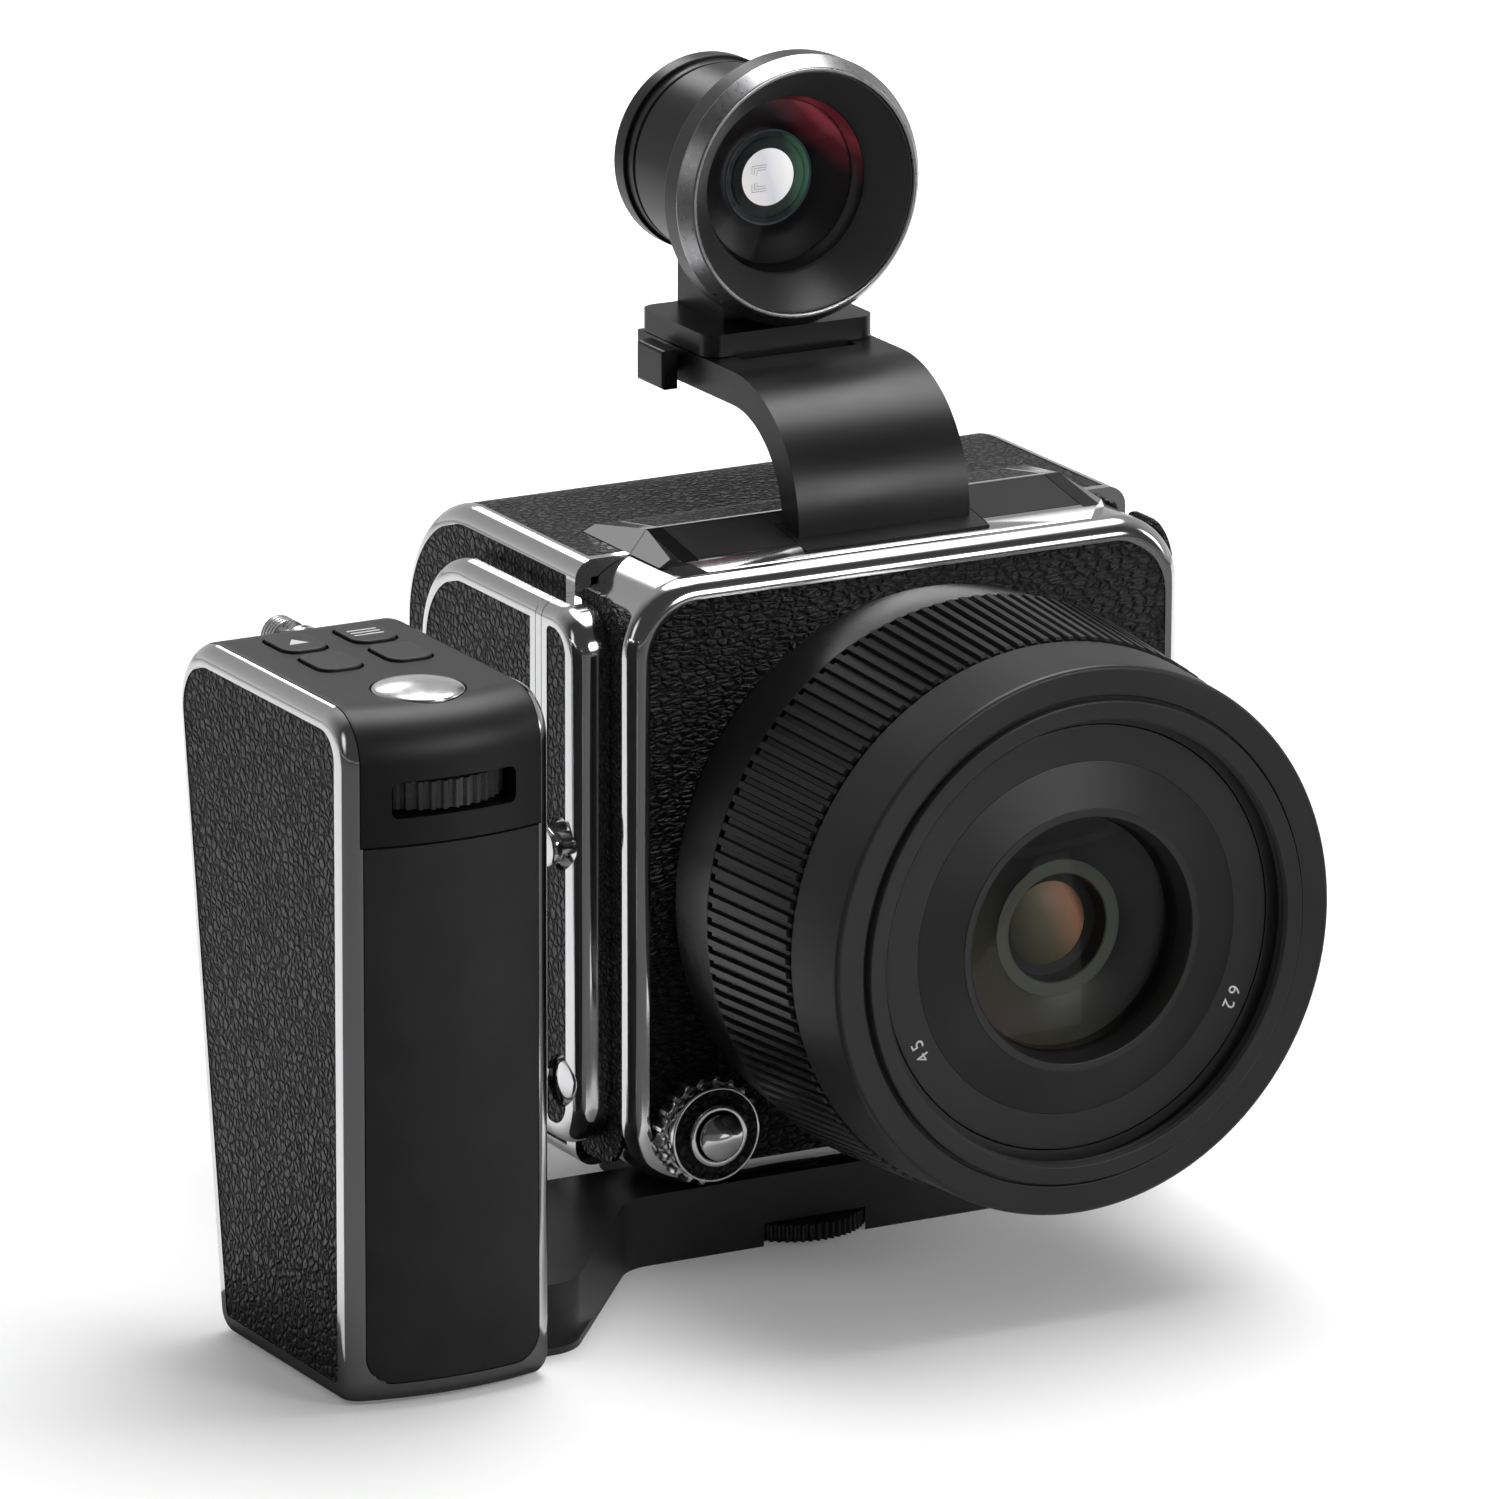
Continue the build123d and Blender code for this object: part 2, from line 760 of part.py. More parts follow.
def back_housing():
    """Chromed shell of the digital back with a bulkhead behind the sensor."""
    shell = along_x(back_profile(0), -half_width, half_width)
    for side in (0, -1):
        rim = shell.faces().sort_by(Axis.X)[side].edges()
        rim = [e for e in rim if e.center().Y > back_front + running]
        shell = fillet(rim, body_round)
    hollow = along_x(side_outline(wall, back_front - 2 * wall, back_rear, body_bottom, body_top,
                                  back_top_radius, back_bottom_radius), -half_width + wall, half_width - wall)
    bulkhead = block((-half_width + wall, half_width - wall),
                     (back_front + bulkhead_back, back_front + bulkhead_back + bulkhead_wall),
                     (body_bottom + wall, body_top - wall))
    shell = shell - hollow + bulkhead
    (x0, x1), (z0, z1) = rear_opening()
    panel = along_y(rounded(x1 - x0, z1 - z0, rear_panel_corner, ((x0 + x1) / 2, (z0 + z1) / 2)),
                    back_rear - rear_panel_thickness, back_rear + overrun)
    opening = along_y(rounded(x1 - x0 - 2 * wall, z1 - z0 - 2 * wall, rear_panel_corner,
                              ((x0 + x1) / 2, (z0 + z1) / 2)), back_rear - 2 * wall, back_rear)
    shell = shell - panel - opening - top_leather_blank(0)
    for side in (-1, 1):
        shell -= back_side_blank(side, 0)
    post_back = back_front + bulkhead_back
    for x, z in sensor_posts():
        shell += disc_y(sensor_post, post_back - sensor_post, post_back, x, z)
    return shell - door_space()


def top_leather_blank(trim):
    """The leather over the top, down the rear curve to the rear panel."""
    skin = back_profile(0) - back_profile(leather)
    if trim == 0:
        skin = side_outline(-overrun, back_front, back_rear, body_bottom, body_top,
                            back_top_radius, back_bottom_radius) - back_profile(leather)
    if trim > 0:
        skin = back_profile(seam / 2) - back_profile(leather)
    edge = half_width - leather_margin - trim
    (x0, x1), (z0, z1) = rear_opening()
    area = block((-edge, edge), (back_front + leather_margin / 2 + trim, back_rear + overrun),
                 (z1 + leather_margin / 2 + trim, body_top + overrun))
    sheet = along_x(skin, -edge, edge) & area
    hump = block((-hump_half_base - trim, hump_half_base + trim),
                 (back_front - overrun, back_front + hump_rear_reach + trim),
                 (body_top - 2 * leather, body_top + 2 * overrun))
    return sheet - hump


def back_top_leather():
    return top_leather_blank(seam)


def back_side_blank(side, trim):
    x0, x1 = side * (half_width - leather), side * (half_width + (overrun if trim == 0 else -seam / 2))
    return along_x(back_profile(side_margin + trim), min(x0, x1), max(x0, x1))


def back_side_leathers():
    return [back_side_blank(-1, seam), back_side_blank(1, seam) - door_space()]


def pad_profile(inset):
    low, high = pad_limits()
    return side_outline(inset, back_front, back_front + pad_rear_depth, low, high,
                        pad_rear_radius, pad_rear_low_radius)


def back_pad():
    pad = along_x(pad_profile(0), -(half_width + pad_out), -half_width)
    rim = [e for e in pad.faces().sort_by(Axis.X)[0].edges() if e.center().Y > back_front + running]
    pad = fillet(rim, pad_round)
    sheet = along_x(pad_sheet_profile(0), -(half_width + pad_out + overrun), -(half_width + pad_out - leather))
    line = pad_seam_line()
    return pad - sheet - line


def pad_seam_line():
    """Groove all round the pad that sets off the chrome strip at its front."""
    y = back_front + strip_width / 2
    low, high = pad_limits()
    outer = half_width + pad_out
    region = block((-(outer + overrun), -half_width), (y, y + seam), (low - overrun, high + overrun))
    core = block((-(outer - seam_depth), -half_width + overrun), (y - overrun, y + overrun),
                 (low + seam_depth, high - seam_depth))
    return region - core


def pad_sheet_profile(trim):
    low, high = pad_limits()
    inset = pad_margin + trim
    return side_outline(0, back_front + strip_width / 2 + seam + pad_margin / 2 + trim,
                        back_front + pad_rear_depth - inset, low + inset, high - inset,
                        pad_rear_radius - inset, pad_rear_low_radius - inset)


def back_pad_leather():
    outer = half_width + pad_out
    return along_x(pad_sheet_profile(seam), -(outer - seam / 2), -(outer - leather))


def sensor_posts():
    half_x = sensor_board_width / 2 - sensor_post
    half_z = sensor_board_height / 2 - sensor_post
    return [(sx * half_x, axis_height + sz * half_z) for sx in (-1, 1) for sz in (-1, 1)]


def sensor_unit():
    """Circuit board with the image sensor on its front."""
    back = back_front + bulkhead_back - sensor_post
    front = back - board_thickness
    half_x, half_z = sensor_board_width / 2, sensor_board_height / 2
    board = block((-half_x, half_x), (front, back), (axis_height - half_z, axis_height + half_z))
    chip = block((-sensor_width / 2, sensor_width / 2), (front - sensor_thickness, front),
                 (axis_height - sensor_height / 2, axis_height + sensor_height / 2))
    return board + chip


def circuit_boards():
    """The back's main board on the bulkhead and the grip's board on its inner wall."""
    front = back_front + bulkhead_back + bulkhead_wall
    right = half_width - wall - battery_width - 4 * gap
    main = block((right - main_board_width, right), (front, front + board_thickness),
                 (axis_height - main_board_height / 2, axis_height + main_board_height / 2))
    inner = -(grip_left - grip_wall)
    side = block((inner, inner + board_thickness),
                 (grip_cavity_back - grip_board_width - gap, grip_cavity_back - gap),
                 (grip_board_low, grip_board_low + grip_board_height))
    return Compound(children=[main, side])


def battery():
    right = half_width - wall - gap
    front = back_front + bulkhead_back + bulkhead_wall + gap
    low = body_bottom + wall
    pack = block((right - battery_width, right), (front, front + battery_depth), (low, low + battery_height))
    return fillet(pack.edges().filter_by(Axis.Z), door_corner)


def door_axis():
    """X and Y of the battery door's hinge."""
    return half_width - door_hinge_inset, door_front + door_hinge_radius + gap


def door_outline(trim):
    low = body_bottom + door_low + trim
    high = body_bottom + door_low + door_height - trim
    return (door_front + trim, door_back - trim), (low, high)


def door_space():
    """Cut in the housing's side for the door, its hinge barrel and the pins' holes."""
    (y0, y1), (z0, z1) = door_outline(0)
    x, y = door_axis()
    pocket = block((half_width - door_thickness - gap, half_width + overrun), (y0, y1), (z0, z1))
    barrel = disc_z(door_hinge_radius + gap, z0, z1, x, y)
    window = block((half_width - 2 * wall, half_width), (y0 + 2 * wall, y1 - wall), (z0 + wall, z1 - wall))
    pins = disc_z(door_pin_radius + running, z0 - door_pin_length, z1 + door_pin_length, x, y)
    return pocket + barrel + window + pins


def battery_door():
    """Leather-faced door that swings on two short pins."""
    (y0, y1), (z0, z1) = door_outline(gap)
    x, y = door_axis()
    leaf = block((half_width - door_thickness, half_width - seam / 2), (y, y1), (z0, z1))
    leaf = fillet(leaf.edges().filter_by(Axis.X).group_by(Axis.Y)[-1], door_corner)
    barrel = disc_z(door_hinge_radius, z0, z1, x, y)
    (a, b), (low, high) = door_outline(0)
    pins = disc_z(door_pin_radius, low - door_pin_length + gap, high + door_pin_length - gap, x, y)
    return leaf + barrel + pins


def screen_axis():
    """Y and Z of the screen's hinge."""
    (x0, x1), (z0, z1) = rear_opening()
    return back_rear + gap + screen_thickness / 2, z0 + screen_low + screen_height - screen_thickness / 2


def rear_panel():
    """Black rear panel with two ears for the screen and the holes for its buttons."""
    (x0, x1), (z0, z1) = rear_opening()
    y0 = back_rear - rear_panel_thickness
    panel = along_y(rounded(x1 - x0 - 2 * seam, z1 - z0 - 2 * seam, rear_panel_corner - seam,
                            ((x0 + x1) / 2, (z0 + z1) / 2)), y0, back_rear)
    y, z = screen_axis()
    for side in (-1, 1):
        inner = side * (screen_width / 2 + gap)
        outer = side * (screen_width / 2 + gap + screen_ear)
        low, high = min(inner, outer), max(inner, outer)
        panel += disc_x(screen_thickness / 2, low, high, y, z)
        panel += block((low, high), (y0, y), (z - screen_thickness / 2, z + screen_thickness / 2))
        panel -= disc_x(hinge_pin_radius + running, low - gap, high + gap, y, z)
    for x in rear_button_places():
        height = z0 + rear_button_height
        room = rear_button_travel + rear_button_stroke_room
        panel += disc_y(rear_button_radius + button_gap + wall / 3, y0 - room - wall / 3, y0, x, height)
        panel -= disc_y(rear_button_radius + button_gap, y0 - room, back_rear + overrun, x, height)
    return panel


def rear_button_places():
    first = -rear_button_pitch * (rear_buttons - 1) / 2
    return [first + rear_button_pitch * k for k in range(rear_buttons)]


def rear_button(k):
    (x0, x1), (z0, z1) = rear_opening()
    y0 = back_rear - rear_panel_thickness - rear_button_travel - rear_button_stroke_room
    button = disc_y(rear_button_radius, y0 + rear_button_stroke_room, back_rear + rear_button_proud,
                    rear_button_places()[k], z0 + rear_button_height)
    return fillet(button.faces().sort_by(Axis.Y)[-1].edges(), rear_button_proud / 2)


def screen_frame():
    """Tilting screen housing with a stub pin at each end of its top edge."""
    y, z = screen_axis()
    half, low = screen_width / 2, z + screen_thickness / 2 - screen_height
    profile = Pos(y, (z + low) / 2) * Rectangle(screen_thickness, z - low)
    slab = along_x(profile, -half, half) + disc_x(screen_thickness / 2, -half, half, y, z)
    slab = fillet(slab.edges().filter_by(Axis.Y).group_by(Axis.Z)[0], rear_panel_corner)
    pins = disc_x(hinge_pin_radius, -half - gap - screen_ear, half + gap + screen_ear, y, z)
    return slab + pins - screen_sheet(0)


def screen_sheet(trim):
    y, z = screen_axis()
    low = z + screen_thickness / 2 - screen_height + screen_border + trim
    high = z - screen_border / 2 - trim
    half = screen_width / 2 - screen_border - trim
    face = back_rear + gap + screen_thickness
    outline = rounded(2 * half, high - low, rim_radius, (0, (low + high) / 2))
    return along_y(outline, face - screen_glass_thickness, face + (overrun if trim == 0 else 0))


def screen_glass():
    return screen_sheet(seam)


# Lens mount and lens

def body_mount_ring():
    """Steel flange on the body, with a spigot in the front wall."""
    return turned(((mount_bore, -mount_flange), (mount_outer, -mount_flange), (mount_outer, leather),
                   (mount_spigot, leather), (mount_spigot, mount_spigot_depth), (mount_bore, mount_spigot_depth)))


def lens_mount():
    """The lens's own steel bayonet: a flange, a tube and its lugs."""
    face = -mount_flange
    tube = bayonet_radius - bayonet_lug_height
    ring = turned(((bayonet_bore, -lens_base), (mount_outer, -lens_base), (mount_outer, face), (tube, face),
                   (tube, bayonet_reach), (bayonet_bore, bayonet_reach)))
    lug = turned(((tube - running, bayonet_reach - bayonet_lug_height),
                  (bayonet_radius, bayonet_reach - bayonet_lug_height), (bayonet_radius, bayonet_reach),
                  (tube - running, bayonet_reach)))
    reach = 2 * mount_outer
    half = radians(bayonet_lug_angle / 2)
    for k in range(bayonet_lugs):
        turn = 2 * pi * k / bayonet_lugs
        wedge = make_face(Polyline((0, axis_height),
                                   (reach * cos(turn - half), axis_height + reach * sin(turn - half)),
                                   (reach * cos(turn + half), axis_height + reach * sin(turn + half)), close=True))
        ring += lug & along_y(wedge, -overrun, bayonet_reach + overrun)
    return ring


def lens_rear_barrel():
    """Fixed barrel with the tube that the focus ring turns on and the cell for the glass."""
    tube_in = lens_tube_radius - lens_tube_wall
    cell_in = cell_radius - cell_wall
    front = -front_barrel_back
    web = -lens_base - lens_tube_wall
    cell_front = -(lens_front - name_ring_depth - name_ring_thickness - cone_rise - front_glass_thickness)
    return turned(((cell_in, -lens_base), (rear_barrel_back_radius, -lens_base),
                   (rear_barrel_front_radius, -(ring_back - gap)), (lens_tube_radius, -(ring_back - gap)),
                   (lens_tube_radius, front), (tube_in, front), (tube_in, web), (cell_radius, web),
                   (cell_radius, cell_front), (cell_in, cell_front)))


def focus_ring():
    """Ring, ribbed from edge to edge, that turns on the rear barrel's tube."""
    front, back = -(front_barrel_back - gap), -ring_back
    outlines = [Plane.XZ.offset(-y) * Pos(0, axis_height) * ribbed(ring_ribs, radius, ring_rib_depth)
                for y, radius in ((front, ring_front_radius), (back, ring_back_radius))]
    return loft(outlines, ruled=True) - disc_y(lens_tube_radius + running, front - overrun, back + overrun,
                                              0, axis_height)


def lens_front_barrel():
    """Fixed front barrel with a flat ring, a groove, the proud lip and the filter thread."""
    front = -lens_front
    lip = front - lens_lip
    back = -front_barrel_back
    seat = front + name_ring_depth
    behind = seat + name_ring_thickness
    inner = filter_radius - name_ring_seat
    tube = lens_tube_radius - lens_tube_wall
    groove_out = lens_groove_radius + lens_groove
    groove_floor = front + lens_groove
    relief = filter_radius + filter_relief_depth
    thread_end = seat - filter_relief
    return turned(((filter_radius + filter_chamfer, lip), (lens_groove_radius, lip),
                   (lens_groove_radius, groove_floor), (groove_out, groove_floor), (groove_out, front),
                   (lens_front_radius - lens_groove, front), (lens_front_radius, front + lens_groove),
                   (front_barrel_radius, back), (tube, back), (tube, behind), (inner, behind), (inner, seat),
                   (relief, seat), (relief, thread_end), (filter_radius, thread_end),
                   (filter_radius, lip + filter_chamfer)))


def name_ring():
    """Flat ring inside the filter thread, its raised cone and the tube that holds the front glass."""
    face = -(lens_front - name_ring_depth)
    nose = face - cone_rise
    back = face + name_ring_thickness
    outer = filter_radius - name_ring_seat - seam
    cell_front = -(lens_front - name_ring_depth - name_ring_thickness - cone_rise - front_glass_thickness)
    return turned(((outer, face), (cone_outer, face), (cone_inner, nose), (glass_radius + seam, nose),
                   (glass_radius + seam, cell_front), (cell_radius, cell_front), (cell_radius, back), (outer, back)))


def front_element():
    nose = -(lens_front - name_ring_depth + cone_rise)
    return dome(glass_radius, glass_bulge, front_glass_thickness, nose, axis_height)


def inner_elements():
    """The middle and rear groups of glass in the cell."""
    bore = cell_radius - cell_wall - running
    return Compound(children=[
        dome(bore, group_bulge, group_thickness, -group_front, axis_height),
        dome(bore, group_bulge, rear_glass_thickness, -cell_back, axis_height, 1)])


def aperture_diaphragm():
    plate = disc_y(cell_radius - cell_wall, -aperture_front, -aperture_front + aperture_thickness, 0, axis_height)
    blades = Pos(0, axis_height) * RegularPolygon(aperture_radius, bayonet_lugs * 3)
    return plate - along_y(blades, -aperture_front - overrun, -aperture_front + aperture_thickness + overrun)


# Finder and bracket

def bracket():
    """Bent plate: a foot in the hump, a quarter turn and a flat top that carries the finder."""
    half = bracket_width / 2
    centre_y = bracket_front + bracket_radius
    centre_z = bracket_top - bracket_radius
    inner = bracket_radius - bracket_thickness
    diagonal = sqrt(0.5)
    low = bracket_low + bracket_foot_thickness / 2
    lines = Curve() + [
        Line((bracket_front, low), (bracket_front, centre_z)),
        ThreePointArc((bracket_front, centre_z),
                      (centre_y - bracket_radius * diagonal, centre_z + bracket_radius * diagonal),
                      (centre_y, bracket_top)),
        Line((centre_y, bracket_top), (bracket_back, bracket_top)),
        Line((bracket_back, bracket_top), (bracket_back, bracket_top - bracket_thickness)),
        Line((bracket_back, bracket_top - bracket_thickness), (centre_y, bracket_top - bracket_thickness)),
        ThreePointArc((centre_y, bracket_top - bracket_thickness),
                      (centre_y - inner * diagonal, centre_z + inner * diagonal),
                      (centre_y - inner, centre_z)),
        Line((centre_y - inner, centre_z), (centre_y - inner, low)),
        Line((centre_y - inner, low), (bracket_front, low))]
    arm = along_x(make_face(lines), -half, half)
    foot_half = bracket_foot_width / 2
    tip, rear = bracket_foot_front, bracket_front + bracket_thickness
    wedge = make_face(Polyline((tip, bracket_low), (rear, bracket_low), (rear, slope_height(rear)),
                               (tip, slope_height(tip)), close=True))
    foot = along_x(wedge, -foot_half, foot_half)
    key = block((-foot_key_width / 2 - seam, foot_key_width / 2 + seam),
                (foot_plate_front - overrun, bracket_back + overrun),
                (bracket_top - foot_key_height - seam, bracket_top + overrun))
    y, z = lock_centre()
    hole = disc_x(lock_pin_radius + running, -half - overrun, -foot_key_width / 2, y, z)
    return arm + foot - key - hole


def lock_centre():
    return lock_front + lock_depth / 2, bracket_top - bracket_thickness / 2 - seam


def finder_lock_button():
    """Push button on the bracket's side; its pin reaches into the bracket."""
    y, z = lock_centre()
    head = block((-lock_out, -lock_out + lock_thickness), (y - lock_depth / 2, y + lock_depth / 2),
                 (z - lock_height / 2, z + lock_height / 2))
    head = fillet(head.faces().sort_by(Axis.X)[0].edges(), lock_round)
    pin_end = -bracket_width / 2 + lock_pin_length - lock_travel - stroke_room
    return head + disc_x(lock_pin_radius, -lock_out + lock_thickness / 2, pin_end, y, z)


def finder_foot():
    """Foot plate, its key in the bracket's top and the stem under the barrel."""
    half = foot_plate_width / 2
    low, high = bracket_top + seam, bracket_top + foot_plate_height
    middle = ((foot_plate_front + bracket_back) / 2)
    plate = along_z(rounded(2 * half, bracket_back - foot_plate_front, foot_plate_corner, (0, middle)), low, high)
    key = block((-foot_key_width / 2, foot_key_width / 2), (foot_plate_front, bracket_back),
                (bracket_top - foot_key_height, high))
    stem = block((-stem_width / 2, stem_width / 2), (stem_front, stem_back), (low, finder_height))
    barrel = disc_y(finder_barrel_radius + seam / 2, finder_front, eyepiece_back + overrun, 0, finder_height)
    return plate + key + (stem - barrel)


def finder_barrel():
    """Black barrel with a seat for the front glass and a baffle inside."""
    front = finder_front + finder_ring_depth
    seat = front + finder_glass_seat
    pupil = finder_front + pupil_back
    return turned(((finder_tube_bore, seat), (finder_glass_radius, seat), (finder_glass_radius, front),
                   (finder_barrel_radius, front), (finder_barrel_radius, eyepiece_front),
                   (finder_tube_bore, eyepiece_front), (finder_tube_bore, pupil + pupil_wall),
                   (pupil_radius, pupil + pupil_wall), (pupil_radius, pupil), (finder_tube_bore, pupil)),
                  finder_height)


def finder_front_ring():
    """Black ring behind the bezel, with the matt cone down to the glass."""
    front = finder_front + bezel_depth
    back = finder_front + finder_ring_depth
    return turned(((bezel_bore, front), (bezel_back_radius, front), (bezel_back_radius, back),
                   (finder_glass_radius, back)), finder_height)


def finder_bezel():
    """Chromed cone-shaped rim."""
    back = finder_front + bezel_depth
    return turned(((bezel_bore, finder_front), (bezel_lip_radius, finder_front),
                   (bezel_back_radius, back - running), (bezel_back_radius, back),
                   (bezel_bore, back)), finder_height)


def finder_lenses():
    """The large front glass and the eyepiece glass."""
    front = dome(finder_glass_radius, finder_glass_bulge, finder_glass_thickness,
                 finder_front + finder_glass_back, finder_height)
    rear = disc_y(finder_tube_bore, eyepiece_front - eyepiece_glass_thickness, eyepiece_front,
                  0, finder_height)
    return Compound(children=[front, rear])


def finder_eyepiece():
    return turned(((eyepiece_bore, eyepiece_front), (eyepiece_radius, eyepiece_front),
                   (eyepiece_radius, eyepiece_back), (eyepiece_bore + wall, eyepiece_back)), finder_height)


# Base plate

def plate_outline():
    """Plan of the plate, its arm and the tail under the digital back."""
    run = (arm_forward) / tan(radians(arm_slant))
    tail = plate_tail_width / 2
    corners = [(plate_right, 0), (-arm_start, 0), (-arm_start - run, -arm_forward), (-grip_right, -arm_forward),
               (-grip_right, plate_front_depth), (-tail, plate_front_depth), (-tail, plate_tail_depth),
               (tail, plate_tail_depth), (tail, plate_front_depth), (plate_right, plate_front_depth)]
    face = make_face(Polyline(*corners, close=True))
    bends = [v for v in face.vertices() if -grip_right + running < v.X < -tail - running and v.Y < running]
    face = fillet(bends, arm_bend)
    ends = [v for v in face.vertices() if v.Y > plate_tail_depth - running]
    return fillet(ends, plate_corner)


def base_plate():
    body = along_z(plate_outline(), 0, plate_thickness)
    body += tongue_block(0)
    pocket = disc_z(thumb_radius + gap, -overrun, foot_margin + thumb_height + gap, thumb_x, thumb_back)
    pocket = pocket & block((-half_width, half_width), (-overrun, plate_tail_depth),
                            (-overrun, plate_thickness))
    shaft = disc_z(screw_radius + running, 0, plate_thickness + overrun, thumb_x, thumb_back)
    socket = disc_z(socket_radius, -overrun, socket_depth, 0, socket_back)
    body = body - pocket - shaft - socket
    for x, y in tongue_screws():
        body -= disc_z(screw_shank_radius, 0, plate_thickness, x, y)
    return body


def tongue_block(trim):
    """The end of the arm, let into the grip; with a trim, the slot for it."""
    return block((-grip_right - tongue_reach - 2 * trim, -grip_right + overrun),
                 (-arm_forward + tongue_inset - trim, plate_front_depth - 4 * tongue_inset + trim),
                 (plate_thickness - tongue_height - tongue_inset / 2 - trim,
                  plate_thickness - tongue_inset / 2 + trim))


def tongue_screws():
    x = -grip_right - screw_inset
    return ((x, -arm_forward + screw_inset), (x, plate_front_depth - 2 * screw_inset))


def thumb_wheel():
    """Ribbed wheel in the plate and the screw that pulls the body down."""
    low = foot_margin
    wheel = along_z(Pos(thumb_x, thumb_back) * ribbed(thumb_ribs, thumb_radius, thumb_rib_depth),
                    low, low + thumb_height)
    return wheel + disc_z(screw_radius, low, body_bottom + screw_engagement, thumb_x, thumb_back)


# Hand grip

def grip_envelope():
    """The grip's whole outer shape: a side profile cut to a bowed plan, all edges rounded."""
    front = -(grip_crown + overrun)
    side = make_face(Polyline((front, 0), (front, grip_top), (grip_rear_top, grip_top),
                              (grip_rear_foot, 0), close=True))
    side = fillet([v for v in side.vertices() if v.Y > running and v.X > 0], grip_rear_top_radius)
    side = fillet([v for v in side.vertices() if v.Y < running and v.X > 0], grip_foot_radius)
    rear = grip_rear_top + overrun
    plan = make_face(Curve() + [
        ThreePointArc((-grip_left, -grip_side_front), (grip_middle, -grip_crown), (-grip_right, -grip_side_front)),
        Polyline((-grip_right, -grip_side_front), (-grip_right, rear), (-grip_left, rear),
                 (-grip_left, -grip_side_front))])
    body = along_x(side, -grip_left - overrun, -grip_right + overrun) & along_z(plan, -overrun, grip_top + overrun)
    for end, radius in ((-1, grip_front_top_radius), (0, grip_foot_radius)):
        body = fillet(body.faces().sort_by(Axis.Z)[end].edges().sort_by(Axis.Y)[0], radius)
    for end in (0, -1):
        body = fillet(body.faces().sort_by(Axis.X)[end].edges(), grip_round)
    return body


def cap_region(trim):
    """L-shaped zone of the control cap: the top slab and the nose behind the front wheel."""
    x = (-(grip_left - cap_margin) + trim, -(grip_right + cap_margin) - trim)
    top = block(x, (-grip_crown - overrun, grip_rear_top + overrun),
                (grip_top - cap_thickness + trim, grip_top + overrun))
    nose = block(x, (-grip_crown - overrun, -grip_crown + cap_nose_depth - trim),
                 (cap_seam_height + trim, grip_top + overrun))
    return top + nose


def front_pad_region(trim):
    """Zone of the rubber front panel, of even thickness behind the bowed front."""
    x = (-(grip_left - front_pad_margin) + trim, -(grip_right + front_pad_margin) - trim)
    z = (front_pad_low + trim, cap_seam_height - trim)
    outline = rounded(x[1] - x[0], z[1] - z[0], front_pad_corner, ((x[0] + x[1]) / 2, (z[0] + z[1]) / 2))
    region = along_y(outline, -grip_crown - overrun, -grip_side_front + 2 * front_pad_thickness)
    square_top = block(x, (-grip_crown - overrun, -grip_side_front + 2 * front_pad_thickness),
                       (z[1] - 2 * front_pad_corner, z[1]))
    return region + square_top


def grip_side_sheet(envelope, side, trim):
    """Leather let into the left (-1) or right (1) face of the grip."""
    face_x = -grip_left if side < 0 else -grip_right
    outward = overrun if trim == 0 else -seam / 2
    margin = grip_leather_margin + trim
    lift = grip_top - margin
    profile = make_face(Polyline((-grip_side_front + margin, margin), (-grip_side_front + margin, lift),
                                 (grip_rear_top - margin, lift), (grip_rear_foot - margin, margin), close=True))
    profile = fillet([v for v in profile.vertices() if v.Y > lift - running and v.X < 0],
                     grip_front_top_radius - grip_leather_margin)
    profile = fillet([v for v in profile.vertices() if v.Y > lift - running and v.X > 0],
                     grip_rear_top_radius - grip_leather_margin)
    profile = fillet([v for v in profile.vertices() if v.Y < margin + running],
                     grip_foot_radius - grip_leather_margin)
    inner = face_x - side * leather
    outer = face_x + side * outward
    return along_x(profile, min(inner, outer), max(inner, outer))


def grip_frame(envelope):
    """Chromed frame and core of the grip, hollow for its board, open for the plate's tongue."""
    left, right = -grip_left + grip_wall, -grip_right - grip_wall
    cavity = block((left, right), (-grip_side_front + 2 * front_pad_thickness + grip_wall, grip_cavity_back),
                   (grip_cavity_low, cap_seam_height - grip_wall))
    behind = Pos(0, front_pad_thickness, 0) * envelope
    front = front_pad_region(0) - behind
    frame = envelope - cap_region(0) - cavity - tongue_block(seam) - front
    for side in (-1, 1):
        frame -= grip_side_sheet(envelope, side, 0)
    for x, y in tongue_screws():
        frame -= disc_z(screw_shank_radius + gap, -overrun, plate_thickness / 2, x, y)
        frame -= disc_z(screw_head_radius + gap, -overrun, screw_head_height + gap, x, y)
    return frame


def grip_front_pad(envelope):
    behind = Pos(0, front_pad_thickness, 0) * envelope
    return (envelope & front_pad_region(seam)) - behind


def grip_leathers(envelope):
    return Compound(children=[grip_side_sheet(envelope, -1, seam),
                              grip_side_sheet(envelope, 1, seam) - tongue_block(seam)])


def grip_button_places():
    return [(-grip_button_x + i * grip_button_pitch_x, -grip_button_y + j * grip_button_pitch_y)
            for j in (0, 1) for i in (0, 1)]


def grip_button_floor():
    return grip_top + grip_button_proud - grip_button_height


def shutter_floor():
    return grip_top + shutter_dome - shutter_height


def front_wheel_axis():
    return grip_middle, -grip_crown + front_wheel_recess + front_wheel_radius


